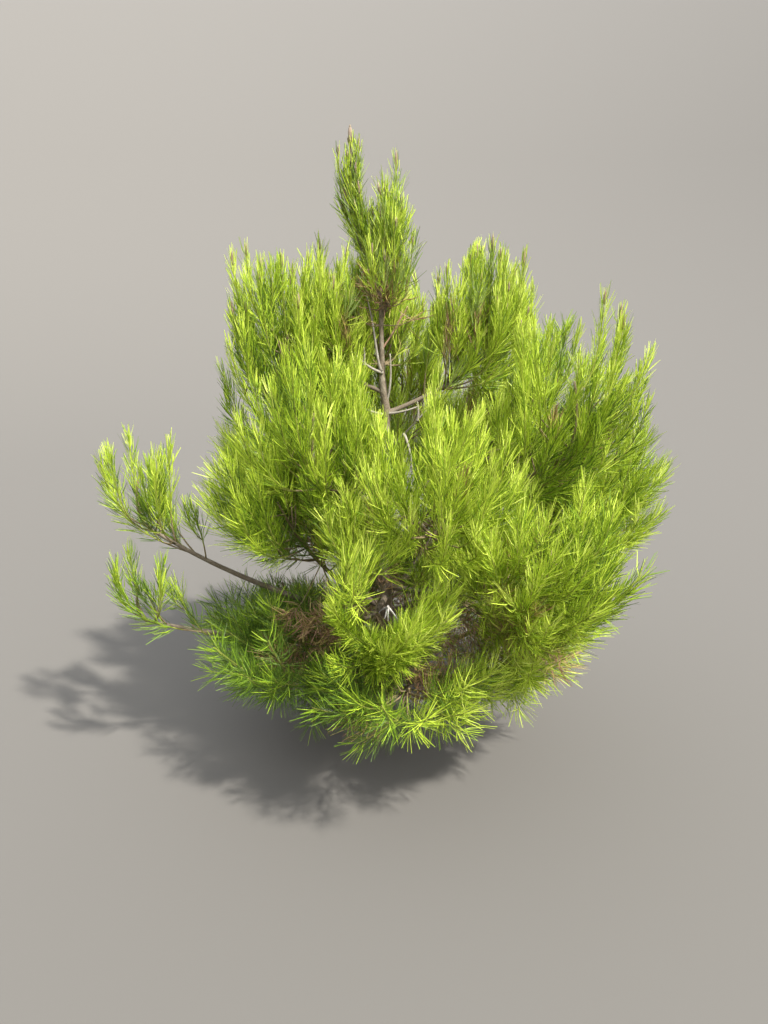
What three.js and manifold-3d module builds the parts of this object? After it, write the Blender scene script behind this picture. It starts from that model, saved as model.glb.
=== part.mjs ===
// A young Mediterranean pine, rooted in the ground and about 1.9 m tall.
//
// One trunk runs from its root flare to the tip of the leader. Tiers of boughs leave it and bend upwards,
// and each bough ends in a mass of foliage: a stem, twigs that fork off it by one seeded rule, and on every
// twig a spray, which is a slim core with needles standing out of it. Units are millimetres, +Z is up, the
// origin is the centre of the flat cut at ground level, and the side that faces -Y is the front.
import * as THREE from "three";
import { mergeVertices } from "three/addons/utils/BufferGeometryUtils.js";
import Module from "manifold-3d";

const wasm = await Module();
wasm.setup();

const { lerp, degToRad, radToDeg, smoothstep, clamp } = THREE.MathUtils;

// Driving sizes
const GAP = 0.35; // clearance where one piece seats on another

const TRUNK = {
  height: 1912,
  baseRadius: 25,
  tipRadius: 4,
  taper: 1.05, // power of the taper, over 1 for a trunk that thins fastest near the ground
  flare: 14, // extra radius of the root flare at the ground
  flareHeight: 45,
  lobes: 5,
  lobeShare: 0.3,
  sides: 10,
  rings: 18,
  ringPower: 1.35, // over 1 brings the rings closer together in the flare
  // Where the trunk's line stands at each height: [height, x, y]
  line: [
    [0, 0, 0],
    [300, 14, -8],
    [700, -6, 6],
    [1107, 6, 0],
    [1236, -6, 4],
    [1427, -9, 0],
    [1673, -89, 4],
    [1912, -94, 0],
  ],
};

// Each tier is a fan of boughs with one mass on each. Turns are in degrees from +X, counted towards +Y.
// whorl is the lowest height at which its boughs leave the trunk, and stagger how far the others climb.
// reach and centre place the middle of a mass, and radius and halfHeight are the size of its rounded space.
// rise says how far the shoots turn from outwards (0) to straight up (1), and spread how wide they fan.
// rightwards makes the reach longer towards +X, and rightDip lowers the masses there. frontDip and
// frontFlat lower and flatten those at the front.
const TIERS = [
  { name: "skirt", count: 7, firstTurn: -32, sweep: 360, whorl: 175, stagger: 110, reach: 470, centre: 425,
    radius: 240, halfHeight: 165, rise: 0.4, spread: 112, shoots: 10, shootLength: 195,
    rightwards: 0.2, rightDip: -20, frontDip: 0, frontFlat: 0 },
  { name: "middle", count: 7, firstTurn: 6, sweep: 360, whorl: 430, stagger: 120, reach: 490, centre: 865,
    radius: 245, halfHeight: 215, rise: 0.64, spread: 112, shoots: 12, shootLength: 225,
    rightwards: 0.36, rightDip: 10, frontDip: 150, frontFlat: 0.1 },
  { name: "shoulder", count: 7, firstTurn: -22, sweep: 360, whorl: 750, stagger: 150, reach: 420,
    centre: 1245, radius: 205, halfHeight: 260, rise: 0.86, spread: 108, shoots: 11, shootLength: 255,
    rightwards: 0.36, rightDip: 40, frontDip: 245, frontFlat: 0.15 },
  { name: "inner", count: 3, firstTurn: 12, sweep: 234, whorl: 1107, stagger: 129, reach: 235, centre: 1385,
    radius: 140, halfHeight: 195, rise: 0.92, spread: 100, shoots: 9, shootLength: 250,
    rightwards: 0.33, rightDip: 0, frontDip: 0, frontFlat: 0 },
];

// Two long low boughs stand clear of the rest of the crown on the -X side.
const LONG_BOUGHS = [
  { name: "left_high", turn: 192, whorl: 395, reach: 740, centre: 895, radius: 145, halfHeight: 165,
    rise: 0.88, spread: 105, shoots: 9, shootLength: 205 },
  { name: "left_low", turn: 199, whorl: 320, reach: 765, centre: 600, radius: 95, halfHeight: 120,
    rise: 0.85, spread: 100, shoots: 6, shootLength: 155 },
];

// The shoot that rises beside the leader
const COMPANION = { name: "companion", turn: -24, whorl: 1395, reach: 75, centre: 1570, radius: 55,
  halfHeight: 170, rise: 0.97, spread: 70, shoots: 5, shootLength: 185 };

// The leader's own foliage: a sleeve round the trunk, with needles on it and shoots that rise beside it.
// The shoots grow shorter and closer to the trunk towards the top.
const LEADER = { from: 1462, to: 1868, sides: 6, needleRings: 12, bare: 0.03, leafy: 0.85, twigRadius: 13,
  coreRadius: 13, tipRadius: 9, shoots: 5, firstTurn: 40, lowest: 1490, highest: 1690, shootLength: 185,
  shootLeast: 0.9, shootVaries: 0.2, topShorter: 0.4, apart: 66, baseApart: 0.7, baseRise: 0.25,
  topCloser: 0.3 };

// A bough leaves the trunk outwards and bends up to its mass. Its root is a share of the trunk's girth.
const BOUGH = { rootShare: 0.56, rootLimit: 12, tipRadius: 5, sides: 5, rings: 5, outwards: 0.6,
  upwards: 0.4 };

// The stem goes on from the bough's tip, from below the middle of its mass to above it, in half heights
const STEM = { below: 0.7, above: 0.25, straight: 0.4, tipRadius: 3, sides: 4, rings: 3, lowestTwig: 0.22,
  highestTwig: 0.96 };

// How much the twigs of a mass vary in their turn, reach and length, and how much shorter the lowest are
const TWIG = { turnVaries: 0.6, reachLeast: 0.93, reachVaries: 0.14, shootLeast: 0.9, shootVaries: 0.25,
  lowShorter: 0.25, straight: 0.6 };

// A spray's needles stand between two shares of its twig's length, bare and leafy
const SPRAY = { sides: 3, needleRings: 6, bare: 0.3, leafy: 0.88, twigRadius: 3, coreRadius: 7,
  tipRadius: 4 };

// Needles close up and shorten towards the tip of their spray. They grow from one corner in three.
const NEEDLE = { length: 108, angle: 29, tighten: 13, shorten: 0.2, every: 3,
  twist: degToRad(137.508 - 120) };

// Dead wood: bleached stubs on a short snag low on the trunk, and a bare dead twig above the fork
const SNAG = { whorl: 440, turn: 274, length: 88, rise: 0.4, sag: 0.06, radius: 5.5, tipRadius: 4, sides: 5,
  rings: 2, stubs: 5, stubsAt: 0.93, stubLength: 54, stubShorter: 0.08, stubRadius: 2.8, stubSides: 3,
  leastLean: 20, leanStep: 17, leans: 3 };
const DEAD_TWIG = { whorl: 1300, turn: -14, length: 150, rise: 0.62, sag: 0.06, radius: 3, tipRadius: 1.2,
  sides: 4, rings: 3 };

// Room that foliage leaves to what it may not touch
const CLEAR = { core: 10, needle: 1.5, limb: 1.5, trunk: 4 };
// Points tested along a limb or a shoot, how many of them lie in the stem or on the bare twig, and the
// shares of a needle's length that are tested
const TESTS = { along: 16, inStem: 3, onTwig: 8, needle: [0.4, 0.7, 1] };

const SEEDS = { first: 1907, step: 7919 };
const GOLDEN_ANGLE = degToRad(137.508);
const WELD = 1e-4; // vertices closer than this are one
const SLIVER = 0.03; // faces thinner than this are taken out of a joined solid
const UP = new THREE.Vector3(0, 0, 1);

const FINISHES = {
  bark: new THREE.MeshStandardMaterial({ color: 0x75695c, roughness: 0.9, metalness: 0 }),
  limb: new THREE.MeshStandardMaterial({ color: 0x8d8577, roughness: 0.85, metalness: 0 }),
  needles: new THREE.MeshStandardMaterial({ color: 0x86a02c, roughness: 0.55, metalness: 0 }),
  dead: new THREE.MeshStandardMaterial({ color: 0xc9c2b4, roughness: 0.9, metalness: 0 }),
};

// Seeded draws from 0 to 1, the same on every run
function draws(seed) {
  let state = seed >>> 0;
  return () => {
    state = (Math.imul(state, 1664525) + 1013904223) >>> 0;
    return state / 4294967296;
  };
}

function outwards(degrees) {
  const turn = degToRad(degrees);
  return new THREE.Vector3(Math.cos(turn), Math.sin(turn), 0);
}

// A direction between outwards and straight up
function risen(way, rise) {
  return way.clone().multiplyScalar(1 - rise).addScaledVector(UP, rise).normalize();
}

// Two directions square to a third and to each other
function across(way) {
  const helper = Math.abs(way.z) > 0.9 ? new THREE.Vector3(1, 0, 0) : UP;
  const side = new THREE.Vector3().crossVectors(way, helper).normalize();
  return [side, new THREE.Vector3().crossVectors(way, side)];
}

// A direction at an angle to an axis, turned round it
function fanned(axis, angle, turn) {
  const [side, other] = across(axis);
  return axis
    .clone()
    .multiplyScalar(Math.cos(angle))
    .addScaledVector(side, Math.sin(angle) * Math.cos(turn))
    .addScaledVector(other, Math.sin(angle) * Math.sin(turn));
}

// The trunk's line and girth

function trunkAt(height) {
  const z = clamp(height, 0, TRUNK.height);
  const above = Math.max(1, TRUNK.line.findIndex((station) => station[0] >= z));
  const [z0, x0, y0] = TRUNK.line[above - 1];
  const [z1, x1, y1] = TRUNK.line[above];
  const share = smoothstep(z, z0, z1);
  return new THREE.Vector3(lerp(x0, x1, share), lerp(y0, y1, share), z);
}

function trunkRadius(height) {
  const left = Math.pow(Math.max(0, 1 - height / TRUNK.height), TRUNK.taper);
  return lerp(TRUNK.tipRadius, TRUNK.baseRadius, left);
}

// Solids

function solidOf(geometry) {
  const bare = geometry.clone();
  bare.deleteAttribute("normal");
  bare.deleteAttribute("uv");
  const merged = mergeVertices(bare, WELD);
  return new wasm.Manifold(
    new wasm.Mesh({
      numProp: 3,
      vertProperties: merged.attributes.position.array,
      triVerts: new Uint32Array(merged.index.array),
    }),
  );
}

function geometryOf(solid) {
  const { vertProperties, triVerts } = solid.getMesh();
  const geometry = new THREE.BufferGeometry();
  geometry.setAttribute("position", new THREE.BufferAttribute(vertProperties, 3));
  geometry.setIndex(new THREE.BufferAttribute(triVerts, 1));
  geometry.computeVertexNormals();
  return geometry;
}

// The largest whole piece, with sealed hollows filled, and loose scraps and slivers dropped
function oneBody(solid) {
  const pieces = solid.simplify(SLIVER).decompose();
  return pieces.reduce((best, piece) => (piece.volume() > best.volume() ? piece : best));
}

// The trunk, widened by extra: a closed cylinder that follows its line, drawn out in lobes at the flare
function trunkSolid(extra) {
  const cylinder = new THREE.CylinderGeometry(1, 1, 1, TRUNK.sides, TRUNK.rings);
  const place = cylinder.attributes.position;
  for (let i = 0; i < place.count; i++) {
    const height = TRUNK.height * Math.pow(place.getY(i) + 0.5, TRUNK.ringPower);
    const turn = Math.atan2(-place.getZ(i), place.getX(i));
    const lobe = 1 + TRUNK.lobeShare * Math.cos(TRUNK.lobes * turn);
    const flare = TRUNK.flare * lobe * Math.exp(-height / TRUNK.flareHeight);
    const radius = trunkRadius(height) + flare + extra;
    const centre = trunkAt(height);
    place.setXYZ(i, centre.x + place.getX(i) * radius, centre.y - place.getZ(i) * radius, height);
  }
  return solidOf(cylinder);
}

// Where a curve runs at each share of its length, with two directions across it that don't twist
function stationsOf(curve, shares) {
  let [side] = across(curve.getTangentAt(shares[0]));
  return shares.map((share) => {
    const way = curve.getTangentAt(share);
    side = side.clone().addScaledVector(way, -side.dot(way)).normalize();
    return { point: curve.getPointAt(share), way, side, other: new THREE.Vector3().crossVectors(way, side) };
  });
}

function radialOf(station, turn) {
  const radial = station.side.clone().multiplyScalar(Math.sin(turn));
  return radial.addScaledVector(station.other, -Math.cos(turn));
}

// A limb with flat ends that tapers from one radius to another
function limbSolid(curve, fromRadius, toRadius, shape) {
  const shares = Array.from({ length: shape.rings + 1 }, (_, ring) => ring / shape.rings);
  const stations = stationsOf(curve, shares);
  const cylinder = new THREE.CylinderGeometry(1, 1, 1, shape.sides, shape.rings);
  const place = cylinder.attributes.position;
  for (let i = 0; i < place.count; i++) {
    const ring = Math.round((place.getY(i) + 0.5) * shape.rings);
    const apart = Math.hypot(place.getX(i), place.getZ(i));
    const radial = radialOf(stations[ring], Math.atan2(place.getX(i), place.getZ(i)));
    const point = stations[ring].point.clone();
    point.addScaledVector(radial, apart * lerp(fromRadius, toRadius, shares[ring]));
    place.setXYZ(i, point.x, point.y, point.z);
  }
  return solidOf(cylinder);
}

// A twig that goes over into its spray: two bare rings, and then a slim core with needles drawn out of the
// corners of its rings. The corners turn with the rings, so the needles of a three-sided core stand a
// golden angle apart.
function spraySolid(curve, shape, mayGrow) {
  const bareRings = 2;
  const last = shape.needleRings + 1;
  const shares = Array.from({ length: last + 2 }, (_, ring) => {
    if (ring < bareRings) return ring * shape.bare;
    return ring > last ? 1 : lerp(shape.bare, shape.leafy, (ring - 1) / shape.needleRings);
  });
  const stations = stationsOf(curve, shares);
  const corner = (2 * Math.PI) / shape.sides;
  const cone = new THREE.ConeGeometry(1, 1, shape.sides, last + 1);
  const place = cone.attributes.position;
  for (let i = 0; i < place.count; i++) {
    const ring = Math.round((place.getY(i) + 0.5) * (last + 1));
    const { point, way } = stations[ring];
    const grown = Math.max(0, ring - 1) / shape.needleRings;
    const tip = point.clone();
    if (Math.hypot(place.getX(i), place.getZ(i)) > WELD) {
      const side = Math.round(Math.atan2(place.getX(i), place.getZ(i)) / corner);
      const radial = radialOf(stations[ring], side * corner - ring * NEEDLE.twist);
      const coreRadius = lerp(shape.coreRadius, shape.tipRadius, grown);
      tip.addScaledVector(radial, ring < bareRings ? shape.twigRadius : coreRadius);
      if (ring >= bareRings && (side + ring) % NEEDLE.every === 0) {
        const angle = degToRad(NEEDLE.angle - NEEDLE.tighten * grown);
        const leaning = way.clone().multiplyScalar(Math.cos(angle)).addScaledVector(radial, Math.sin(angle));
        const length = NEEDLE.length * (1 - NEEDLE.shorten * grown);
        if (mayGrow(tip, leaning, length)) tip.addScaledVector(leaning, length);
      }
    }
    place.setXYZ(i, tip.x, tip.y, tip.z);
  }
  return solidOf(cone);
}

// A slim pyramid that stands on its root
function spikeSolid(root, way, length, radius, sides) {
  const cone = new THREE.ConeGeometry(radius, length, sides, 1);
  cone.translate(0, length / 2, 0);
  cone.applyQuaternion(new THREE.Quaternion().setFromUnitVectors(new THREE.Vector3(0, 1, 0), way));
  cone.translate(root.x, root.y, root.z);
  return solidOf(cone);
}

// The line of the trunk between two heights
class TrunkLine extends THREE.Curve {
  constructor(from, to) {
    super();
    this.from = from;
    this.to = to;
  }

  getPoint(share) {
    return trunkAt(lerp(this.from, this.to, share));
  }
}

// The crown's plan

// Where the masses of a tier stand
function placesOf(tier) {
  return Array.from({ length: tier.count }, (_, k) => {
    const turn = tier.firstTurn + (tier.sweep / tier.count) * k;
    const way = outwards(turn);
    const front = Math.max(0, -way.y) ** 2;
    return {
      ...tier,
      name: `${tier.name}_${k + 1}`,
      turn,
      whorl: tier.whorl + (tier.stagger * ((2 * k) % tier.count)) / (tier.count - 1),
      reach: tier.reach * (1 + tier.rightwards * way.x),
      centre: tier.centre - tier.rightDip * way.x - tier.frontDip * front,
      halfHeight: tier.halfHeight * (1 - tier.frontFlat * front),
    };
  });
}

// The bough and the stem of one mass, as curves, with the middle of the mass and its axis of growth
function limbsOf(place) {
  const way = outwards(place.turn);
  const foot = trunkAt(place.whorl);
  const middle = trunkAt(place.centre).addScaledVector(way, place.reach);
  const growth = risen(way, place.rise);
  const entry = middle.clone().addScaledVector(growth, -STEM.below * place.halfHeight);
  const run = entry.clone().sub(foot);
  const bend = foot
    .clone()
    .addScaledVector(way, BOUGH.outwards * Math.hypot(run.x, run.y))
    .addScaledVector(UP, BOUGH.upwards * run.z);
  const heading = entry.clone().sub(bend).normalize();
  const stemRoot = entry.clone().addScaledVector(heading, GAP);
  const stemTop = middle.clone().addScaledVector(growth, STEM.above * place.halfHeight);
  const stemBend = stemRoot.clone().addScaledVector(heading, STEM.straight * stemRoot.distanceTo(stemTop));
  return {
    ...place,
    middle,
    growth,
    rootRadius: Math.min(BOUGH.rootLimit, BOUGH.rootShare * trunkRadius(place.whorl)),
    bough: new THREE.QuadraticBezierCurve3(foot, bend, entry),
    stem: new THREE.QuadraticBezierCurve3(stemRoot, stemBend, stemTop),
  };
}

// A point inside a stem's faceted solid, at a share of its length
function onStem(stem, share) {
  const ring = Math.floor(share * STEM.rings);
  const from = stem.getPointAt(ring / STEM.rings);
  return from.lerp(stem.getPointAt((ring + 1) / STEM.rings), share * STEM.rings - ring);
}

// A twig's curve, from its root to the base of its shoot and up the shoot to the tip
function twigCurve(root, base, tip) {
  return new THREE.CubicBezierCurve3(root, root.clone().lerp(base, TWIG.straight), base, tip);
}

// The shoots of a mass: tips spread evenly over its rounded outside, each on a twig that bends upwards
function shootsOf(mass, seed) {
  const draw = draws(seed);
  const widest = 1 - Math.cos(degToRad(mass.spread));
  return Array.from({ length: mass.shoots }, (_, k) => {
    const share = (k + 0.5) / mass.shoots;
    const turn = GOLDEN_ANGLE * k + TWIG.turnVaries * draw();
    const out = fanned(mass.growth, Math.acos(1 - widest * share), turn);
    const size = TWIG.reachLeast + TWIG.reachVaries * draw();
    const tip = new THREE.Vector3(out.x * mass.radius, out.y * mass.radius, out.z * mass.halfHeight)
      .multiplyScalar(size)
      .add(mass.middle);
    const heading = risen(out, mass.rise);
    const varied = TWIG.shootLeast + TWIG.shootVaries * draw();
    const length = mass.shootLength * varied * (1 - TWIG.lowShorter * share);
    const root = onStem(mass.stem, lerp(STEM.highestTwig, STEM.lowestTwig, share));
    const base = tip.clone().addScaledVector(heading, -length);
    return twigCurve(root, base, tip);
  });
}

// The shoots that rise beside the leader
function leaderShoots(seed) {
  const draw = draws(seed);
  return Array.from({ length: LEADER.shoots }, (_, k) => {
    const share = k / (LEADER.shoots - 1);
    const way = outwards(LEADER.firstTurn + radToDeg(GOLDEN_ANGLE) * k);
    const root = trunkAt(lerp(LEADER.lowest, LEADER.highest, share));
    const varied = LEADER.shootLeast + LEADER.shootVaries * draw();
    const length = LEADER.shootLength * varied * (1 - LEADER.topShorter * share);
    const base = root.clone().addScaledVector(way, LEADER.baseApart * LEADER.apart);
    base.z += LEADER.baseRise * length;
    const tip = trunkAt(root.z + length).addScaledVector(way, LEADER.apart * (1 - LEADER.topCloser * share));
    return twigCurve(root, base, tip);
  });
}

// What foliage has to keep clear of

// A curve as a row of short straight lines, each with its radius
function linesOf(curve, fromRadius, toRadius) {
  const points = curve.getPoints(TESTS.along);
  return points.slice(1).map((end, i) => ({
    line: new THREE.Line3(points[i], end),
    radius: lerp(fromRadius, toRadius, i / TESTS.along),
  }));
}

function clearOf(lines, point, room) {
  const nearest = new THREE.Vector3();
  return lines.every(({ line, radius }) => {
    line.closestPointToPoint(point, true, nearest);
    return nearest.distanceTo(point) > radius + room;
  });
}

// How far out a point lies in a mass's rounded space: 0 in its middle and 1 at its outside
function depthIn(mass, point) {
  const from = point.clone().sub(mass.middle);
  return Math.hypot(from.x / mass.radius, from.y / mass.radius, from.z / mass.halfHeight);
}

// True where a point lies deeper in its own mass than in any other, with room to spare on its own side
function keepsIn(mass, masses, point, room) {
  const own = depthIn(mass, point);
  return masses.every((other) => {
    if (other === mass) return true;
    const narrower = Math.min(mass.radius, mass.halfHeight, other.radius, other.halfHeight);
    return ((depthIn(other, point) - own) * narrower) / 2 > room;
  });
}

// The pieces

const model = new THREE.Group();

function addPiece(name, solid, finish) {
  const mesh = new THREE.Mesh(geometryOf(oneBody(solid)), finish);
  mesh.name = name;
  model.add(mesh);
}

const trunkRoom = trunkSolid(GAP);
addPiece("trunk", trunkSolid(0), FINISHES.bark);

const masses = [...TIERS.flatMap(placesOf), ...LONG_BOUGHS, COMPANION].map(limbsOf);
// The leader's own space, which the masses round it stay out of
const leaderSpace = {
  middle: trunkAt(0.5 * (LEADER.from + LEADER.to)),
  radius: LEADER.apart,
  halfHeight: 0.5 * (LEADER.to - LEADER.from),
};
const spaces = [...masses, leaderSpace];

const trunkLines = TRUNK.line.slice(1).map(([height], i) => ({
  line: new THREE.Line3(trunkAt(TRUNK.line[i][0]), trunkAt(height)),
  radius: trunkRadius(TRUNK.line[i][0]) + CLEAR.trunk,
}));
const boughLines = masses.flatMap((mass) => linesOf(mass.bough, mass.rootRadius, BOUGH.tipRadius));
const stemLines = new Map(masses.map((mass) => [mass, linesOf(mass.stem, BOUGH.tipRadius, STEM.tipRadius)]));

// The sprays that stay in their own space and clear of the limbs
function sprays(space, shoots, limbs) {
  const mayGrow = (root, way, length) =>
    TESTS.needle.every((share) => {
      const point = root.clone().addScaledVector(way, share * length);
      return keepsIn(space, spaces, point, CLEAR.needle) && clearOf(limbs, point, CLEAR.needle + CLEAR.limb);
    });
  const stays = (curve) =>
    curve.getPoints(TESTS.along).every((point, i) => {
      if (i < TESTS.inStem) return true;
      const room = i < TESTS.onTwig ? SPRAY.twigRadius : CLEAR.core;
      return keepsIn(space, spaces, point, room) && clearOf(limbs, point, room + CLEAR.limb);
    });
  return shoots.filter(stays).map((curve) => spraySolid(curve, SPRAY, mayGrow));
}

for (const [index, mass] of masses.entries()) {
  const bough = limbSolid(mass.bough, mass.rootRadius, BOUGH.tipRadius, BOUGH).subtract(trunkRoom);
  addPiece(`bough_${mass.name}`, bough, FINISHES.limb);

  const others = masses.filter((other) => other !== mass).flatMap((other) => stemLines.get(other));
  const limbs = [...trunkLines, ...boughLines, ...others];
  const stem = limbSolid(mass.stem, BOUGH.tipRadius, STEM.tipRadius, STEM);
  const foliage = sprays(mass, shootsOf(mass, SEEDS.first + SEEDS.step * index), limbs);
  addPiece(`mass_${mass.name}`, wasm.Manifold.union([stem, ...foliage]), FINISHES.needles);
}

const allStems = masses.flatMap((mass) => stemLines.get(mass));
const sleeve = spraySolid(new TrunkLine(LEADER.from, LEADER.to), LEADER, () => true);
const besideLeader = sprays(leaderSpace, leaderShoots(SEEDS.first), [...boughLines, ...allStems]);
const leader = wasm.Manifold.union([sleeve, ...besideLeader]).subtract(trunkRoom);
addPiece("mass_leader", leader, FINISHES.needles);

// A dead limb that leaves the trunk and sags a little on its way up
function deadLimb(plan) {
  const root = trunkAt(plan.whorl);
  const end = root.clone().addScaledVector(risen(outwards(plan.turn), plan.rise), plan.length);
  const bend = root.clone().lerp(end, 0.5).addScaledVector(UP, -plan.sag * plan.length);
  return new THREE.QuadraticBezierCurve3(root, bend, end);
}

const snagCurve = deadLimb(SNAG);
const stubRoot = snagCurve.getPoint(SNAG.stubsAt);
const stubs = Array.from({ length: SNAG.stubs }, (_, k) => {
  const lean = SNAG.leastLean + SNAG.leanStep * ((2 * k) % SNAG.leans);
  const way = fanned(UP.clone().negate(), degToRad(lean), GOLDEN_ANGLE * k);
  const length = SNAG.stubLength * (1 - SNAG.stubShorter * k);
  return spikeSolid(stubRoot, way, length, SNAG.stubRadius, SNAG.stubSides);
});
const snag = wasm.Manifold.union([limbSolid(snagCurve, SNAG.radius, SNAG.tipRadius, SNAG), ...stubs]);
addPiece("dead_snag", snag.subtract(trunkRoom), FINISHES.dead);

const deadTwig = limbSolid(deadLimb(DEAD_TWIG), DEAD_TWIG.radius, DEAD_TWIG.tipRadius, DEAD_TWIG);
addPiece("dead_twig", deadTwig.subtract(trunkRoom), FINISHES.dead);

export default model;
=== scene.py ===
"""A young Mediterranean pine, rooted in the ground and about 1.9 m tall, with its bark, twigs and needles.

The tree grows by the same seeded rule as its solids: tiers of boughs leave the trunk, each bough goes on as a
stem through one mass of foliage, and shoots leave the stem one by one. Here the rule is carried further, to
side shoots, pairs of needles, buds and dry twigs. Everything is in metres, +Z is up, the origin is the middle
of the cut at ground level, and the side that faces -Y is the front.
"""

import logging
import math
from collections.abc import Callable, Iterable, Sequence
from dataclasses import dataclass, field, replace
from enum import Enum
from functools import partial

import bmesh
import bpy
import numpy as np
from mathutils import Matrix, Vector, noise


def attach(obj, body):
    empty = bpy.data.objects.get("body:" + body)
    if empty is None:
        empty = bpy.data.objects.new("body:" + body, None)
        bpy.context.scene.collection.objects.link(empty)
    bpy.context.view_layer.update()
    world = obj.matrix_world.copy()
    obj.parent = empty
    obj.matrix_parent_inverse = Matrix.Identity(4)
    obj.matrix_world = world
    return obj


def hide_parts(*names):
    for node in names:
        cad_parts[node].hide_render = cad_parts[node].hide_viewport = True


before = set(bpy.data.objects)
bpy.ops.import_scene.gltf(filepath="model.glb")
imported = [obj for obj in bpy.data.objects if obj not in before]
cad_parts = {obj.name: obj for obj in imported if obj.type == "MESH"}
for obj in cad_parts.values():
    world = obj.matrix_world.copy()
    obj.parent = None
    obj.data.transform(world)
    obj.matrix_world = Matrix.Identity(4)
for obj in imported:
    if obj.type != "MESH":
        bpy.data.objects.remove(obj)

LOG = logging.getLogger("pine")
BODY = "root"
Vec = np.ndarray
Rng = np.random.Generator
Material = bpy.types.Material
Triple = tuple[float, float, float]
Span = tuple[float, float]

UP = np.array([0.0, 0.0, 1.0])
ALONG_X = np.array([1.0, 0.0, 0.0])
GOLDEN_ANGLE = math.radians(137.508)
# The room that the solids leave where a stem is seated on its bough
GAP = 0.00035
FIRST_SEED = 1907
SEED_STEP = 7919


# Directions and curves


def lerp(low: float, high: float, share: float) -> float:
    """Return the value at a share of the way from low to high."""
    return low + (high - low) * share


def ramp(value: float, start: float, end: float) -> float:
    """Return how far a value is on its way from start to end, from 0 to 1."""
    return min(1.0, max(0.0, (value - start) / (end - start)))


def unit(way: Vec) -> Vec:
    """Return the direction of a vector, or of each row of several."""
    return way / np.linalg.norm(way, axis=-1, keepdims=True)


def outwards(degrees: float) -> Vec:
    """Return the level direction at a turn from +X towards +Y."""
    turn = math.radians(degrees)
    return np.array([math.cos(turn), math.sin(turn), 0.0])


def risen(way: Vec, rise: float) -> Vec:
    """Return a direction between a way (rise 0) and straight up (rise 1)."""
    return unit(way * (1 - rise) + UP * rise)


def across(way: Vec) -> tuple[Vec, Vec]:
    """Return two directions square to a way and to each other."""
    side = unit(np.cross(way, ALONG_X if abs(way[2]) > 0.9 else UP))
    return side, np.cross(way, side)


def fanned(axis: Vec, angle: float, turn: float) -> Vec:
    """Return the direction at an angle to an axis, turned round it, both in radians."""
    side, other = across(axis)
    return axis * math.cos(angle) + math.sin(angle) * (side * math.cos(turn) + other * math.sin(turn))


def draws(seed: int) -> Callable[[], float]:
    """Return a source of seeded draws from 0 to 1, the same as the one behind the solids.

    Args:
        seed: The seed.

    Returns:
        A function that gives the next draw at each call.
    """
    factor, step, span = 1664525, 1013904223, 2**32
    state = seed % span

    def draw() -> float:
        """Return the next draw.

        Returns:
            The draw.
        """
        nonlocal state
        state = (state * factor + step) % span
        return state / span

    return draw


class Line:
    """A smooth line, measured by its length."""

    divisions: int = 200

    def at(self, steps: Vec) -> Vec:
        """Return the points at these values of the line's parameter, one in each row."""
        raise NotImplementedError

    def _lengths(self) -> tuple[Vec, Vec]:
        """Return the line's parameter at even steps, and the length run up to each.

        Returns:
            The values of the parameter, and the lengths in metres.
        """
        t = np.linspace(0, 1, self.divisions + 1)
        runs = np.linalg.norm(np.diff(self.at(t), axis=0), axis=1)
        return t, np.concatenate([[0.0], np.cumsum(runs)])

    def length(self) -> float:
        """Return the line's length in metres."""
        return float(self._lengths()[1][-1])

    def even(self, shares: Vec) -> Vec:
        """Return the points at these shares of the line's length."""
        t, lengths = self._lengths()
        return self.at(np.interp(np.atleast_1d(shares) * lengths[-1], lengths, t))

    def ways(self, shares: Vec) -> Vec:
        """Return the directions at these shares of the line's length.

        Args:
            shares: The shares.

        Returns:
            The directions, one in each row.
        """
        step = 1e-3
        shares = np.clip(np.atleast_1d(shares), step, 1 - step)
        return unit(self.even(shares + step) - self.even(shares - step))

    def spot(self, share: float) -> tuple[Vec, Vec]:
        """Return the point and the direction at a share of the line's length."""
        return self.even(share)[0], self.ways(share)[0]


@dataclass(frozen=True, eq=False)
class Curve(Line):
    """A Bezier curve with two, three or four control points."""

    points: tuple[Vec, ...]

    def at(self, steps: Vec) -> Vec:
        """Return the points at these values of the curve's parameter, one in each row.

        Args:
            steps: The values, from 0 to 1.

        Returns:
            The points.
        """
        t = np.atleast_1d(steps)[:, None]
        degree = len(self.points) - 1
        return sum(
            math.comb(degree, k) * t**k * (1 - t) ** (degree - k) * p for k, p in enumerate(self.points)
        )


@dataclass(frozen=True)
class Lines:
    """Limbs as rows of short straight lines, each with its radius."""

    starts: Vec
    ends: Vec
    radii: Vec

    @classmethod
    def along(cls, curve: Curve, from_radius: float, to_radius: float) -> "Lines":
        """Return a tapering limb as short straight lines.

        Args:
            curve: The limb's middle line.
            from_radius: Its radius at the root.
            to_radius: Its radius at the tip.

        Returns:
            The lines.
        """
        shares = np.linspace(0, 1, TESTS.along + 1)
        points = curve.at(shares)
        return cls(points[:-1], points[1:], lerp(from_radius, to_radius, shares[:-1]))

    @classmethod
    def joined(cls, parts: Iterable["Lines"]) -> "Lines":
        """Return several sets of lines as one."""
        parts = list(parts)
        names = ("starts", "ends", "radii")
        return cls(*(np.concatenate([getattr(part, name) for part in parts]) for name in names))

    def clear_of(self, points: Vec, room: float) -> bool:
        """Tell whether points stay clear of every line.

        Args:
            points: The points, one in each row.
            room: The clearance that they need.

        Returns:
            True if all of them do.
        """
        runs = self.ends - self.starts
        squares = np.sum(runs * runs, axis=1)
        shares = np.einsum("pld,ld->pl", points[:, None] - self.starts, runs) / squares
        nearest = self.starts + np.clip(shares, 0, 1)[:, :, None] * runs
        apart = np.linalg.norm(points[:, None] - nearest, axis=2)
        return bool(np.all(apart > self.radii + room))


# The tree's plan, the same as that of its solids


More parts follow.
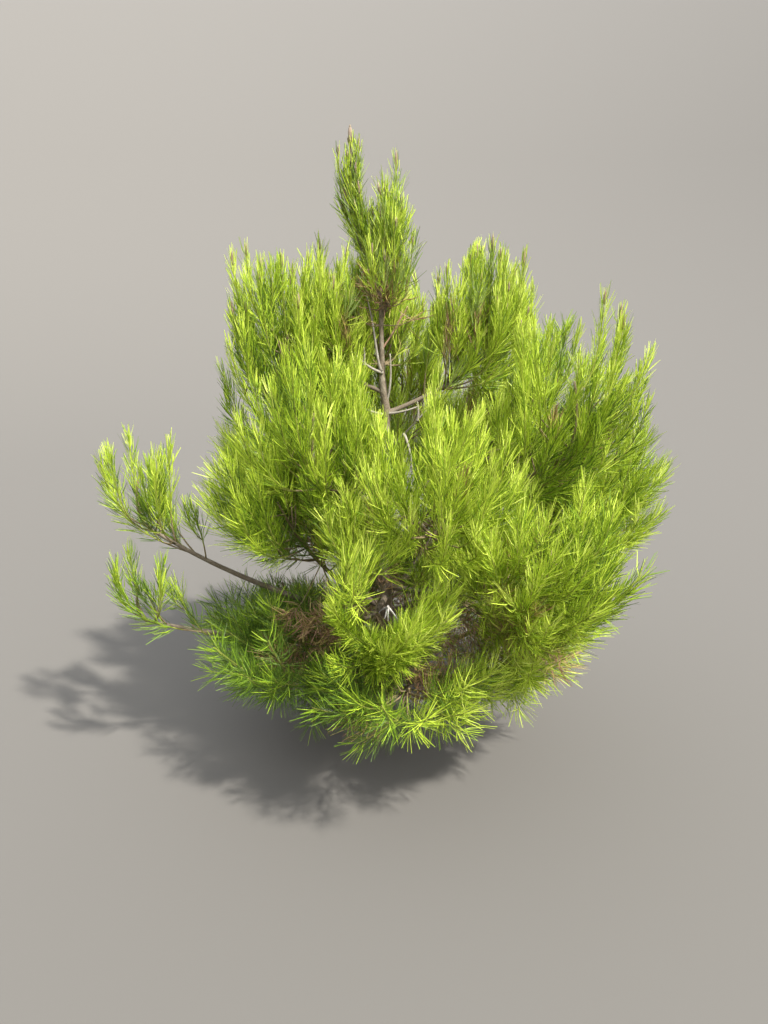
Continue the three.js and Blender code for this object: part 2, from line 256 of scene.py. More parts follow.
@dataclass(frozen=True)
class TrunkPlan:
    """The trunk's line and girth, in metres."""

    height: float = 1.912
    base_radius: float = 0.025
    tip_radius: float = 0.004
    taper: float = 1.05
    flare: float = 0.014
    flare_height: float = 0.045
    lobes: int = 5
    lobe_share: float = 0.3
    line: tuple[Triple, ...] = (
        (0.0, 0.0, 0.0),
        (0.300, 0.014, -0.008),
        (0.700, -0.006, 0.006),
        (1.107, 0.006, 0.0),
        (1.236, -0.006, 0.004),
        (1.427, -0.009, 0.0),
        (1.673, -0.089, 0.004),
        (1.912, -0.094, 0.0),
    )

    def at(self, height: float) -> Vec:
        """Return the middle of the trunk at a height.

        Args:
            height: The height.

        Returns:
            The point.
        """
        z = min(max(height, 0.0), self.height)
        above = max(1, next(i for i, station in enumerate(self.line) if station[0] >= z))
        z0, x0, y0 = self.line[above - 1]
        z1, x1, y1 = self.line[above]
        share = (z - z0) / (z1 - z0)
        share = share * share * (3 - 2 * share)
        return np.array([lerp(x0, x1, share), lerp(y0, y1, share), z])

    def radius(self, height: float) -> float:
        """Return the trunk's radius at a height, without the flare."""
        return lerp(self.tip_radius, self.base_radius, max(0.0, 1 - height / self.height) ** self.taper)


@dataclass(frozen=True)
class Habit:
    """How the needles and side shoots of a tier grow.

    Attributes:
        wide: The angle between a needle and its shoot at the foot of the spray, in degrees.
        narrow: The same at the tip.
        finer: How many more shoots a mass has than its solid.
        side_shoots: How many shoots fork off each of them.
        along_bough: How many shoots leave the bough before it reaches the mass.
        bough_bare: The share of the bough, from the trunk, that has no shoots.
        needle: The length of a needle.
        tip_short: How much shorter the needles are at the tip.
        upsweep: How much the outer half of a needle turns upwards.
        bud: The length of the bud at the tip of a shoot, or 0.
        shade: From 0 to 1, how much of the mass is painted in deep green as shade; below 0, how much lighter
            it is painted as sunlight.
        olive: The share of sprays that are olive.
        dry: The share of inner sprays whose needles are dry.
        dense: How many needles it has for each metre, as a share of the usual number.
    """

    wide: float
    narrow: float
    finer: int = 16
    side_shoots: int = 3
    along_bough: int = 8
    bough_bare: float = 0.3
    needle: float = 0.076
    tip_short: float = 0.35
    upsweep: float = 0.0
    bud: float = 0.0
    shade: float = 0.0
    olive: float = 0.0
    dry: float = 0.0
    dense: float = 1.0


@dataclass(frozen=True)
class Tier:
    """A fan of boughs round the trunk with one mass on each. Turns are in degrees from +X towards +Y."""

    name: str
    first_turn: float
    whorl: float
    reach: float
    centre: float
    radius: float
    half_height: float
    rise: float
    spread: float
    shoots: int
    shoot_length: float
    habit: Habit
    count: int = 1
    sweep: float = 360.0
    stagger: float = 0.0
    rightwards: float = 0.0
    right_dip: float = 0.0
    front_dip: float = 0.0
    front_flat: float = 0.0
    hemmed: bool = False


SKIRT_HABIT = Habit(wide=66, narrow=40, finer=20, side_shoots=2, along_bough=18, bough_bare=0.10,
                    needle=0.084, tip_short=0.1, upsweep=0.10, shade=0.78, dry=0.3)
MIDDLE_HABIT = Habit(wide=46, narrow=19, finer=26, along_bough=12, bough_bare=0.10, needle=0.084,
                     tip_short=0.15, upsweep=0.08, shade=0.2, dry=0.06)
SHOULDER_HABIT = Habit(wide=29, narrow=9, finer=16, side_shoots=2, along_bough=9, bough_bare=0.30,
                       needle=0.077, tip_short=0.25, bud=0.034, shade=0.12, dry=0.04)
INNER_HABIT = Habit(wide=27, narrow=9, finer=12, side_shoots=2, along_bough=7, bough_bare=0.34, needle=0.074,
                    tip_short=0.2, bud=0.036, shade=-0.3, olive=0.25, dry=0.08)
LEFT_HABIT = Habit(wide=31, narrow=11, finer=3, side_shoots=1, along_bough=4, bough_bare=0.72, needle=0.076,
                   tip_short=0.2, bud=0.018, shade=0.2)
COMPANION_HABIT = Habit(wide=31, narrow=9, finer=9, side_shoots=2, along_bough=12, bough_bare=0.0,
                        needle=0.076, tip_short=0.2, bud=0.034, shade=0.3, olive=0.65, dense=0.85)
LEADER_HABIT = Habit(wide=27, narrow=9, side_shoots=1, needle=0.064, tip_short=0.3, bud=0.034, shade=0.5,
                     olive=0.85, dense=0.75)

TIERS = (
    Tier("skirt", -32, 0.175, 0.470, 0.425, 0.240, 0.165, 0.4, 112, 10, 0.195, SKIRT_HABIT, count=7,
         stagger=0.110, rightwards=0.2, right_dip=-0.020, hemmed=True),
    Tier("middle", 6, 0.430, 0.490, 0.865, 0.245, 0.215, 0.64, 112, 12, 0.225, MIDDLE_HABIT, count=7,
         stagger=0.120, rightwards=0.36, right_dip=0.010, front_dip=0.150, front_flat=0.1, hemmed=True),
    Tier("shoulder", -22, 0.750, 0.420, 1.245, 0.205, 0.260, 0.86, 108, 11, 0.255, SHOULDER_HABIT, count=7,
         stagger=0.150, rightwards=0.36, right_dip=0.040, front_dip=0.245, front_flat=0.15),
    Tier("inner", 12, 1.107, 0.235, 1.385, 0.140, 0.195, 0.92, 100, 9, 0.250, INNER_HABIT, count=3,
         sweep=234, stagger=0.129, rightwards=0.33),
)
LONE_MASSES = (
    Tier("left_high", 192, 0.395, 0.740, 0.895, 0.145, 0.165, 0.88, 105, 9, 0.205, LEFT_HABIT),
    Tier("left_low", 199, 0.320, 0.765, 0.600, 0.095, 0.120, 0.85, 100, 6, 0.155, LEFT_HABIT),
    Tier("companion", -24, 1.395, 0.075, 1.570, 0.055, 0.170, 0.97, 70, 5, 0.185, COMPANION_HABIT),
)


@dataclass(frozen=True)
class BoughPlan:
    """How a bough leaves the trunk and bends up to its mass."""

    root_share: float = 0.56
    root_limit: float = 0.012
    tip_radius: float = 0.005
    outwards: float = 0.6
    upwards: float = 0.4


@dataclass(frozen=True)
class StemPlan:
    """How a stem runs on from its bough through its mass, in half heights of the mass."""

    below: float = 0.7
    above: float = 0.25
    straight: float = 0.4
    tip_radius: float = 0.003
    rings: int = 3
    lowest_twig: float = 0.22
    highest_twig: float = 0.96


@dataclass(frozen=True)
class TwigPlan:
    """How much the shoots of a mass vary. A pair of numbers is a range."""

    turn_varies: float = 0.6
    reach_least: float = 0.93
    reach_varies: float = 0.14
    shoot_least: float = 0.9
    shoot_varies: float = 0.25
    low_shorter: float = 0.25
    straight: float = 0.6
    climb: float = 0.45
    overshoot: float = 0.016
    step_down: float = 0.12
    on_bough: Span = (0.98, 0.55)
    bough_places: int = 6
    spire_rise: float = 0.93
    finer_spread: float = 14
    finer_reach: Span = (0.62, 1.08)
    finer_outwards: float = 0.6
    finer_turn: float = 0.8
    finer_length: Span = (0.6, 0.95)
    finer_on_stem: Span = (0.9, 0.1)
    tilt: float = 0.17
    # Where a spray's tone is painted darker as shade, deep and low in the mass, and lighter as light further
    # out and higher up.
    dark_depth: float = 0.5
    dark_below: float = 0.5
    light_above: float = 0.35


@dataclass(frozen=True)
class LeaderPlan:
    """The leader's needles on the trunk itself, and the shoots that rise beside it.

    A pair of numbers is a range.
    """

    start: float = 1.462
    end: float = 1.868
    shoots: int = 5
    first_turn: float = 40
    lowest: float = 1.490
    highest: float = 1.690
    shoot_length: float = 0.185
    shoot_least: float = 0.9
    shoot_varies: float = 0.2
    top_shorter: float = 0.4
    apart: float = 0.066
    base_apart: float = 0.7
    base_rise: float = 0.25
    top_closer: float = 0.3
    closer: float = 0.5
    finer: int = 13
    finer_turn: float = 160
    finer_length: Span = (0.20, 0.11)
    finer_varies: Span = (0.85, 1.1)
    finer_height: Span = (1.46, 1.74)
    finer_close: Span = (0.75, 0.42)
    finer_plain: float = 0.3
    skin: float = 0.0045
    spire_sunk: float = 0.02
    spire_straight: float = 0.8
    spire_bend: float = 0.9


@dataclass(frozen=True)
class Tests:
    """Where a shoot is tested against its neighbours, in steps along it, and the room that it leaves.

    The first steps are inside its stem, and only its leafy part has to stay out of the hollows. A mass that
    would stay sparse makes more attempts at finer shoots.
    """

    along: int = 16
    in_stem: int = 3
    leafy: int = 5
    attempts: int = 4
    sparse: float = 0.5
    overlap: float = -0.035
    finer_overlap: float = -0.055
    bough_overlap: float = -0.30
    limb: float = 0.004
    trunk: float = 0.004


@dataclass(frozen=True)
class Hem:
    """The underside of the crown, which turns up towards its rim."""

    least: float = 0.19
    height: float = 0.315
    distance: float = 0.58
    slope: float = 1.0

    def clears(self, points: Vec) -> bool:
        """Tell whether points stay above the underside."""
        apart = np.hypot(points[:, 0], points[:, 1])
        lowest = np.maximum(self.least, self.height + self.slope * (apart - self.distance))
        return bool(np.all(points[:, 2] > lowest))


@dataclass(frozen=True)
class Window:
    """The open slot between the lowest and the middle masses on the left, round the long bough.

    It runs from left to right and falls towards the back. A pair of numbers is for its left and right end.
    """

    left: float = -0.66
    right: float = -0.12
    height: Span = (0.70, 0.545)
    depth: Span = (-0.14, -0.03)
    fall: float = 0.42
    half: Span = (0.075, 0.030)

    def clears(self, points: Vec) -> bool:
        """Tell whether points stay out of the slot.

        Args:
            points: The points, one in each row.

        Returns:
            True if all of them do.
        """
        share = np.clip((points[:, 0] - self.left) / (self.right - self.left), 0, 1)
        beside = (points[:, 0] < self.left) | (points[:, 0] > self.right)
        middle = lerp(*self.height, share)
        middle = middle - self.fall * (points[:, 1] - lerp(*self.depth, share))
        return bool(np.all(beside | (np.abs(points[:, 2] - middle) > lerp(*self.half, share))))


@dataclass(frozen=True)
class Recess:
    """A hollow between the masses, through which dead wood, dry needles or the floor shows.

    It runs from its inner end to where it opens.
    """

    end: Triple
    radius: float
    length: float = 0.9
    way: Triple = (0.0, -0.91, 0.42)

    def clears(self, points: Vec) -> bool:
        """Tell whether points stay out of the hollow.

        Args:
            points: The points, one in each row.

        Returns:
            True if all of them do.
        """
        run = points - np.array(self.end)
        way = unit(np.array(self.way))
        along = np.clip(run @ way, 0, self.length)
        return bool(np.all(np.linalg.norm(run - along[:, None] * way, axis=1) > self.radius))


TRUNK = TrunkPlan()
BOUGH = BoughPlan()
STEM = StemPlan()
TWIG = TwigPlan()
LEADER = LeaderPlan()
TESTS = Tests()
HEM = Hem()
WINDOW = Window()
HOLLOWS = (
    Recess((-0.004, -0.085, 0.492), 0.060),
    Recess((-0.185, -0.30, 0.52), 0.064),
    Recess((0.115, -0.46, 0.465), 0.050),
    Recess((0.060, -0.02, 1.070), 0.046, way=(-0.026, -0.979, 0.203)),
    Recess((0.115, 0.42, 1.42), 0.095, length=0.0),
    Recess((0.438, -0.35, 1.475), 0.085, length=0.85, way=(0.218, 1.0, -0.046)),
    Recess((0.490, -0.35, 1.490), 0.080, length=0.85, way=(0.245, 1.0, -0.046)),
)


@dataclass(frozen=True)
class Spire:
    """A tall shoot that stands above its neighbours and ends in a candle."""

    tip: Triple
    length: float = 0.20
    candle: float = 0.040


SPIRES = (
    Spire((-0.441, 0.0, 1.548)),
    Spire((-0.402, 0.02, 1.570)),
    Spire((-0.355, -0.02, 1.535)),
    Spire((-0.300, 0.02, 1.545)),
    Spire((0.034, 0.0, 1.805), 0.20, 0.050),
    Spire((0.010, -0.01, 1.725), 0.18),
    Spire((0.272, 0.02, 1.568)),
    Spire((0.318, 0.03, 1.588), 0.20, 0.050),
    Spire((0.339, 0.00, 1.560)),
    Spire((0.407, 0.00, 1.550), 0.24, 0.050),
    Spire((0.610, -0.15, 1.446)),
    Spire((0.658, -0.15, 1.408)),
    Spire((-0.128, 0.0, 1.835), 0.16, 0.030),
    Spire((-0.070, 0.0, 1.852), 0.16, 0.036),
)


def twig_curve(root: Vec, base: Vec, tip: Vec) -> Curve:
    """Return a twig's line from its root to the base of its shoot and up the shoot to the tip."""
    return Curve((root, root + (base - root) * TWIG.straight, base, tip))


@dataclass(frozen=True, eq=False)
class Mass:
    """One mass of foliage that grows one way in its rounded space, with its bough and its stem.

    Its size is half the space's measures in X, Y and Z. Its name is the solid's, without the first word.
    """

    name: str
    tier: Tier
    middle: Vec
    size: Vec
    growth: Vec
    root_radius: float
    bough: Curve
    stem: Curve

    @classmethod
    def planned(cls, tier: Tier, k: int) -> "Mass":
        """Return the mass of one place of a tier.

        Args:
            tier: The tier.
            k: The place's number, from 0.

        Returns:
            The mass.
        """
        turn = tier.first_turn + tier.sweep / tier.count * k
        way = outwards(turn)
        front = max(0.0, -way[1]) ** 2
        climbed = tier.stagger * ((2 * k) % tier.count) / max(1, tier.count - 1)
        whorl = tier.whorl + climbed
        centre = tier.centre - tier.right_dip * way[0] - tier.front_dip * front
        half_height = tier.half_height * (1 - tier.front_flat * front)
        foot = TRUNK.at(whorl)
        middle = TRUNK.at(centre) + way * tier.reach * (1 + tier.rightwards * way[0])
        growth = risen(way, tier.rise)
        entry = middle - growth * STEM.below * half_height
        run = entry - foot
        bend = foot + way * BOUGH.outwards * math.hypot(run[0], run[1]) + UP * BOUGH.upwards * run[2]
        heading = unit(entry - bend)
        root = entry + heading * GAP
        top = middle + growth * STEM.above * half_height
        stem_bend = root + heading * STEM.straight * float(np.linalg.norm(top - root))
        name = tier.name if tier.count == 1 else f"{tier.name}_{k + 1}"
        root_radius = min(BOUGH.root_limit, BOUGH.root_share * TRUNK.radius(whorl))
        bough = Curve((foot, bend, entry))
        stem = Curve((root, stem_bend, top))
        size = np.array([tier.radius, tier.radius, half_height])
        return cls(name, tier, middle, size, growth, root_radius, bough, stem)

    def depth(self, point: Vec) -> float:
        """Return how far out a point is, 1 on the skin of the mass's space."""
        return float(np.linalg.norm((point - self.middle) / self.size))

    def outer(self, curve: Curve) -> float:
        """Return how far out in the light a shoot's tip is.

        Args:
            curve: The shoot's line.

        Returns:
            1 in full light, 0 or a little less deep in the shade.
        """
        tip = curve.points[-1]
        high = float((tip - self.middle) @ self.growth) / float(self.size[2])
        light = max(0.0, self.depth(tip) - TWIG.dark_depth) + TWIG.light_above * (high + TWIG.dark_below)
        return min(1.0, light)

    def on_stem(self, share: float) -> Vec:
        """Return the point at a share of the stem's length, on its few straight rings.

        Args:
            share: The share.

        Returns:
            The point.
        """
        rings = self.stem.even(np.linspace(0, 1, STEM.rings + 1))
        ring = min(int(share * STEM.rings), STEM.rings - 1)
        return lerp(rings[ring], rings[ring + 1], share * STEM.rings - ring)

    def root_of(self, base: Vec, share: float) -> Vec:
        """Return the point of the stem, or of the bough below it, from which a twig climbs to its shoot.

        Args:
            base: The base of the shoot.
            share: The highest place on the stem that it may have.

        Returns:
            The point.
        """
        down_stem = [self.on_stem(lower) for lower in np.arange(share, 0, -TWIG.step_down)]
        down_bough = list(self.bough.even(np.linspace(*TWIG.on_bough, TWIG.bough_places)))
        for root in down_stem + down_bough:
            way = base - root
            if float(way @ self.growth) > TWIG.climb * float(np.linalg.norm(way)):
                return root
        foot = self.stem.points[0]
        return down_bough[-1] if float((base - foot) @ self.growth) < 0 else foot

    def shoots(self, seed: int) -> list[Curve]:
        """Return the mass's shoots: tips spread over its rounded outside, on twigs that bend upwards.

        Args:
            seed: The seed of their small differences.

        Returns:
            Their lines.
        """
        draw = draws(seed)
        widest = 1 - math.cos(math.radians(self.tier.spread))
        curves = []
        for k in range(self.tier.shoots):
            share = (k + 0.5) / self.tier.shoots
            turn = GOLDEN_ANGLE * k + TWIG.turn_varies * draw()
            out = fanned(self.growth, math.acos(1 - widest * share), turn)
            size = TWIG.reach_least + TWIG.reach_varies * draw()
            varied = TWIG.shoot_least + TWIG.shoot_varies * draw()
            length = self.tier.shoot_length * varied * (1 - TWIG.low_shorter * share)
            curves.append(self.shoot(out, size, length, lerp(STEM.highest_twig, STEM.lowest_twig, share)))
        return curves

    def shoot(self, out: Vec, size: float, length: float, share: float, tilt: Vec | float = 0.0) -> Curve:
        """Return one shoot.

        Args:
            out: The direction of its tip from the mass's middle.
            size: How far out the tip is, as a share of the mass's reach.
            length: The length of the shoot beyond its twig.
            share: The highest place on the stem that the twig may leave from.
            tilt: What turns the shoot away from its neighbours' direction.

        Returns:
            The line of the twig and the shoot.
        """
        tip = self.middle + out * self.size * size
        heading = unit(risen(out, self.tier.rise) + tilt)
        base = tip - heading * length
        return twig_curve(self.root_of(base, share), base, tip + heading * TWIG.overshoot)

    def spire(self, spire: Spire) -> Curve:
        """Return the line of a spire, from the stem to its tip.

        Args:
            spire: The spire.

        Returns:
            Its line.
        """
        tip = np.array(spire.tip)
        way = unit(risen(unit(tip - self.middle), TWIG.spire_rise))
        base = tip - way * spire.length
        return twig_curve(self.root_of(base, STEM.highest_twig), base, tip)

    def finer_shoots(self, rng: Rng) -> list[Curve]:
        """Return the shoots that fill the mass between the first ones, and inside them.

        Args:
            rng: The source of small differences.

        Returns:
            Their lines.
        """
        count = self.tier.habit.finer
        widest = 1 - math.cos(math.radians(self.tier.spread + TWIG.finer_spread))
        curves = []
        for k in range(count):
            share = (k + 0.5) / count
            turn = GOLDEN_ANGLE * (k + 0.5) + rng.uniform(0, TWIG.finer_turn)
            out = fanned(self.growth, math.acos(max(-1.0, 1 - widest * share)), turn)
            size = lerp(*TWIG.finer_reach, rng.uniform() ** TWIG.finer_outwards)
            length = self.tier.shoot_length * rng.uniform(*TWIG.finer_length) * (1 - TWIG.low_shorter * share)
            tilt = rng.normal(0, TWIG.tilt, 3)
            curves.append(self.shoot(out, size, length, lerp(*TWIG.finer_on_stem, share), tilt))
        return curves


@dataclass(frozen=True)
class Spaces:
    """The rounded spaces of all masses, with the leader's own last."""

    middles: Vec
    sizes: Vec

    @classmethod
    def of(cls, masses: Sequence[Mass]) -> "Spaces":
        """Return the spaces of these masses and of the leader.

        Args:
            masses: The masses, in the order of their numbers.

        Returns:
            Their spaces.
        """
        middles = [mass.middle for mass in masses] + [TRUNK.at((LEADER.start + LEADER.end) / 2)]
        sizes = [mass.size for mass in masses]
        sizes.append(np.array([LEADER.apart, LEADER.apart, (LEADER.end - LEADER.start) / 2]))
        return cls(np.array(middles), np.array(sizes))

    def keeps_in(self, index: int, points: Vec, room: float) -> bool:
        """Tell whether points lie deeper in their own space than in any other.

        Args:
            index: The number of their own space.
            points: The points, one in each row.
            room: The room that each has on its own side, below 0 where sprays may mingle.

        Returns:
            True if all of them do.
        """
        depths = np.linalg.norm((points[:, None] - self.middles) / self.sizes, axis=2)
        narrow = np.minimum(self.sizes.min(axis=1), self.sizes[index].min())
        beyond = (depths - depths[:, index : index + 1]) * narrow / 2 > room
        beyond[:, index] = True
        return bool(np.all(beyond))

    def nearest(self, point: Vec) -> int:
        """Return the number of the space that a point belongs to."""
        return int(np.argmin(np.linalg.norm((point - self.middles) / self.sizes, axis=1)))


@dataclass(frozen=True, eq=False)
class Shoot:
    """A shoot with needles.

    Attributes:
        line: The line of its twig and itself.
        bare: The share of the line that has no needles.
        side: Whether it forks off another shoot.
        outer: How far out in the light it is, 1 at most.
        skin: The radius of the wood that its needles stand on.
        inner: Whether it grows in the shade near the trunk.
        candle: The length of its candle, or 0 for one of its tier's own.
    """

    line: Line
    bare: float
    side: bool
    outer: float
    skin: float = 0.001
    inner: bool = False
    candle: float = 0.0


@dataclass(frozen=True)
class TrunkRun(Line):
    """A stretch of the trunk's own middle line."""

    start: float
    end: float

    def at(self, steps: Vec) -> Vec:
        """Return the points at these shares of the stretch."""
        return np.array([TRUNK.at(lerp(self.start, self.end, step)) for step in np.atleast_1d(steps)])


@dataclass(frozen=True)
class Forking:
    """How shoots fork off a limb one by one, bend upwards and stand beside it.

    Attributes:
        start: The share of the limb's length at which the first may stand.
        end: The same for the last.
        angle: The angle at which they leave, in degrees.
        varies: How much that angle varies.
        lengths: The range of their lengths, as a share of the usual one.
        bend: How far out they bend, as a share of their length.
        top: How far they go on from the bend.
        along: How much they follow the limb.
        lifted: How much of a downward way is taken out.
        within_step: Where in its own part of the limb each may stand.
    """

    start: float
    end: float
    angle: float
    varies: float
    lengths: Span
    bend: float
    top: float
    along: float
    lifted: float = 0.0
    within_step: Span = (0.2, 0.8)

    def grow(
        self, limb: Line, count: int, rise: float, usual: Callable[[float], float], rng: Rng
    ) -> list[Curve]:
        """Return the shoots.

        Args:
            limb: The line that they fork off.
            count: How many there are.
            rise: How much they turn upwards.
            usual: Gives the usual length at a share of the limb's length.
            rng: The source of small differences.

        Returns:
            Their lines.
        """
        curves = []
        first_turn = rng.uniform(0, 2 * math.pi)
        for k in range(count):
            share = lerp(self.start, self.end, (k + rng.uniform(*self.within_step)) / count)
            root, way = limb.spot(share)
            angle = math.radians(self.angle + rng.uniform(-self.varies, self.varies))
            out = fanned(way, angle, first_turn + GOLDEN_ANGLE * k)
            if self.lifted:
                out = unit(out + UP * max(0.0, -self.lifted * out[2]))
            length = usual(share) * rng.uniform(*self.lengths)
            base = root + out * length * self.bend
            tip = base + unit(risen(out, rise) + way * self.along) * length * self.top
            curves.append(twig_curve(root, base, tip))
        return curves


SIDE_FORKS = Forking(0.30, 0.80, angle=44, varies=9, lengths=(0.8, 1.1), bend=0.4, top=0.66, along=0.55)
BOUGH_FORKS = Forking(0.0, 0.98, angle=52, varies=12, lengths=(0.6, 0.95), bend=0.45, top=0.75, along=0.3,
                      lifted=0.9)


@dataclass
class Crown:
    """The plan of the whole crown: its masses, and the shoots of each that stay in their own space."""

    masses: list[Mass] = field(default_factory=list)
    side_length: float = 0.8
    side_shorter: float = 0.45
    side_depth: float = 1.04
    bough_near: float = 0.6
    main_bare: float = 0.34
    side_bare: float = 0.14

    def __post_init__(self) -> None:
        """Plan the masses and the limbs that foliage stays clear of."""
        self.masses = [Mass.planned(tier, k) for tier in TIERS for k in range(tier.count)]
        self.masses += [Mass.planned(tier, 0) for tier in LONE_MASSES]
        self.spaces = Spaces.of(self.masses)
        stations = [station[0] for station in TRUNK.line]
        points = np.array([TRUNK.at(height) for height in stations])
        radii = np.array([TRUNK.radius(height) + TESTS.trunk for height in stations[:-1]])
        trunk = Lines(points[:-1], points[1:], radii)
        boughs = [Lines.along(mass.bough, mass.root_radius, BOUGH.tip_radius) for mass in self.masses]
        self.limbs = Lines.joined([trunk, *boughs])
        self.boughs = Lines.joined(boughs)

    def stays(self, index: int, curve: Curve, limbs: Lines, overlap: float) -> bool:
        """Tell whether a shoot stays in its own space, above the hem and clear of the limbs.

        Args:
            index: The number of the shoot's mass.
            curve: The shoot's line.
            limbs: The limbs that it may not touch.
            overlap: How far it may reach between the neighbouring shoots, as a room below 0.

        Returns:
            True if the shoot may grow.
        """
        points = curve.at(np.linspace(0, 1, TESTS.along + 1))[TESTS.in_stem :]
        hemmed = index < len(self.masses) and self.masses[index].tier.hemmed
        if hemmed and not all(part.clears(points) for part in (HEM, WINDOW)):
            return False
        if not all(hollow.clears(points[TESTS.leafy - TESTS.in_stem :]) for hollow in HOLLOWS):
            return False
        return self.spaces.keeps_in(index, points, overlap) and limbs.clear_of(points, TESTS.limb)

    def bough_shoots(self, mass: Mass, rng: Rng) -> list[Curve]:
        """Return the shoots that leave a bough on its way to the mass.

        Args:
            mass: The mass that the bough carries.
            rng: The source of small differences.

        Returns:
            Their lines.
        """
        habit = mass.tier.habit
        forks = replace(BOUGH_FORKS, start=habit.bough_bare)

        def usual(share: float) -> float:
            """Return the usual length, which is less near the trunk."""
            return mass.tier.shoot_length * min(1.0, self.bough_near + share)

        return forks.grow(mass.bough, habit.along_bough, mass.tier.rise, usual, rng)

    def side_shoots(self, mass: Mass, main: Curve, rng: Rng) -> list[Curve]:
        """Return the shoots that fork off a main shoot, bend up beside it and stay within the mass's reach.

        Args:
            mass: The mass.
            main: The main shoot's line.
            rng: The source of small differences.

        Returns:
            Their lines.
        """
        longest = main.length() * self.side_length

        def usual(share: float) -> float:
            """Return the usual length, which is less towards the tip."""
            return longest * (1 - self.side_shorter * share)

        sides = SIDE_FORKS.grow(main, mass.tier.habit.side_shoots, mass.tier.rise, usual, rng)
        return [side for side in sides if mass.depth(side.points[-1]) < self.side_depth]

    def shoots_of(self, index: int) -> list[Shoot]:
        """Return the main and side shoots of one mass.

        Args:
            index: The mass's number.

        Returns:
            Its shoots, each main one followed by its side shoots.
        """
        mass = self.masses[index]
        seed = FIRST_SEED + SEED_STEP * index
        rng = np.random.default_rng(seed)
        mains = [(curve, TESTS.overlap) for curve in mass.shoots(seed)]
        mains += [(curve, TESTS.finer_overlap) for curve in mass.finer_shoots(rng)]
        for _ in range(TESTS.attempts):
            growing = sum(self.stays(index, curve, self.limbs, overlap) for curve, overlap in mains)
            if growing > TESTS.sparse * (mass.tier.shoots + mass.tier.habit.finer):
                break
            mains += [(curve, TESTS.finer_overlap) for curve in mass.finer_shoots(rng)]
        mains += [(curve, TESTS.bough_overlap) for curve in self.bough_shoots(mass, rng)]
        grown = [
            Shoot(mass.spire(spire), self.side_bare, False, 1.0, candle=spire.candle)
            for spire in SPIRES
            if self.spaces.nearest(np.array(spire.tip)) == index
        ]
        for main, overlap in mains:
            sides = self.side_shoots(mass, main, rng)
            if not self.stays(index, main, self.limbs, overlap):
                continue
            inner = overlap == TESTS.bough_overlap and mass.tier.hemmed
            grown.append(Shoot(main, self.main_bare, False, mass.outer(main), inner=inner))
            for side in sides:
                if self.stays(index, side, self.limbs, overlap):
                    grown.append(Shoot(side, self.side_bare, True, mass.outer(side)))
        return grown

    def leader_shoots(self) -> list[Shoot]:
        """Return the shoots that rise beside the leader, with their side shoots.

        Returns:
            The shoots that stay in the leader's space.
        """
        draw = draws(FIRST_SEED)
        rng = np.random.default_rng(FIRST_SEED)
        index = len(self.masses)
        step = math.degrees(GOLDEN_ANGLE)
        grown = []
        for k in range(LEADER.shoots):
            share = k / (LEADER.shoots - 1)
            height = lerp(LEADER.lowest, LEADER.highest, share)
            varied = LEADER.shoot_least + LEADER.shoot_varies * draw()
            length = LEADER.shoot_length * varied * (1 - LEADER.top_shorter * share)
            close = 1 - LEADER.top_closer * share
            main = self.leader_shoot(height, length, LEADER.first_turn + step * k, close)
            if self.stays(index, main, self.boughs, TESTS.overlap):
                grown.append(Shoot(main, self.side_bare, False, 1.0))
        for k in range(LEADER.finer):
            share = (k + 0.5) / LEADER.finer
            height = lerp(*LEADER.finer_height, share)
            length = lerp(*LEADER.finer_length, share) * rng.uniform(*LEADER.finer_varies)
            close = lerp(*LEADER.finer_close, share)
            main = self.leader_shoot(height, length, LEADER.finer_turn + step * k, close)
            if self.stays(index, main, self.boughs, TESTS.finer_overlap):
                grown.append(Shoot(main, self.side_bare, share > LEADER.finer_plain and k % 2 == 0, 1.0))
        for spire in SPIRES:
            tip = np.array(spire.tip)
            if self.spaces.nearest(tip) == index:
                root = TRUNK.at(tip[2] - spire.length - LEADER.spire_sunk)
                base = lerp(root, tip - UP * LEADER.spire_straight * spire.length, LEADER.spire_bend)
                line = twig_curve(root, base, tip)
                grown.append(Shoot(line, self.side_bare, False, 1.0, candle=spire.candle))
        return grown

    def leader_shoot(self, height: float, length: float, turn: float, close: float) -> Curve:
        """Return one shoot beside the leader.

        Args:
            height: The height at which it leaves the trunk.
            length: How far it rises.
            turn: The side it is on.
            close: How far it stands from the trunk, as a share of the leader's reach.

        Returns:
            Its line.
        """
        way = outwards(turn) * LEADER.apart * close * LEADER.closer
        root = TRUNK.at(height)
        base = root + way * LEADER.base_apart + UP * LEADER.base_rise * length
        return twig_curve(root, base, TRUNK.at(height + length) + way)


# Finishes


def linear(hex_colour: int) -> tuple[float, float, float, float]:
    """Turn an sRGB colour such as 0x8fae2c into the linear colour that a shader takes."""
    channels = [((hex_colour >> shift) & 0xFF) / 255 for shift in (16, 8, 0)]
    return (*(c / 12.92 if c <= 0.04045 else ((c + 0.055) / 1.055) ** 2.4 for c in channels), 1.0)


def add_node(material: Material, kind: str, links: dict | None = None, **settings) -> bpy.types.Node:
    """Add a shader node to a material.

    Args:
        material: The material.
        kind: The node's type, without its ShaderNode prefix.
        links: What each input takes: a socket, or a plain value.
        settings: The node's own properties.

    Returns:
        The new node.
    """
    node = material.node_tree.nodes.new(f"ShaderNode{kind}")
    for name, value in settings.items():
        setattr(node, name, value)
    for name, source in (links or {}).items():
        if isinstance(source, bpy.types.NodeSocket):
            material.node_tree.links.new(source, node.inputs[name])
        else:
            node.inputs[name].default_value = source
    return node


def new_material(name: str) -> Material:
    """Return an empty material that uses nodes.

    Args:
        name: Its name.

    Returns:
        The material.
    """
    material = bpy.data.materials.new(name)
    material.use_nodes = True
    material.node_tree.nodes.clear()
    return material


def shown(material: Material, shader: bpy.types.Node) -> Material:
    """Join a shader to the material's output and return the material."""
    add_node(material, "OutputMaterial", {"Surface": shader.outputs[0]})
    return material


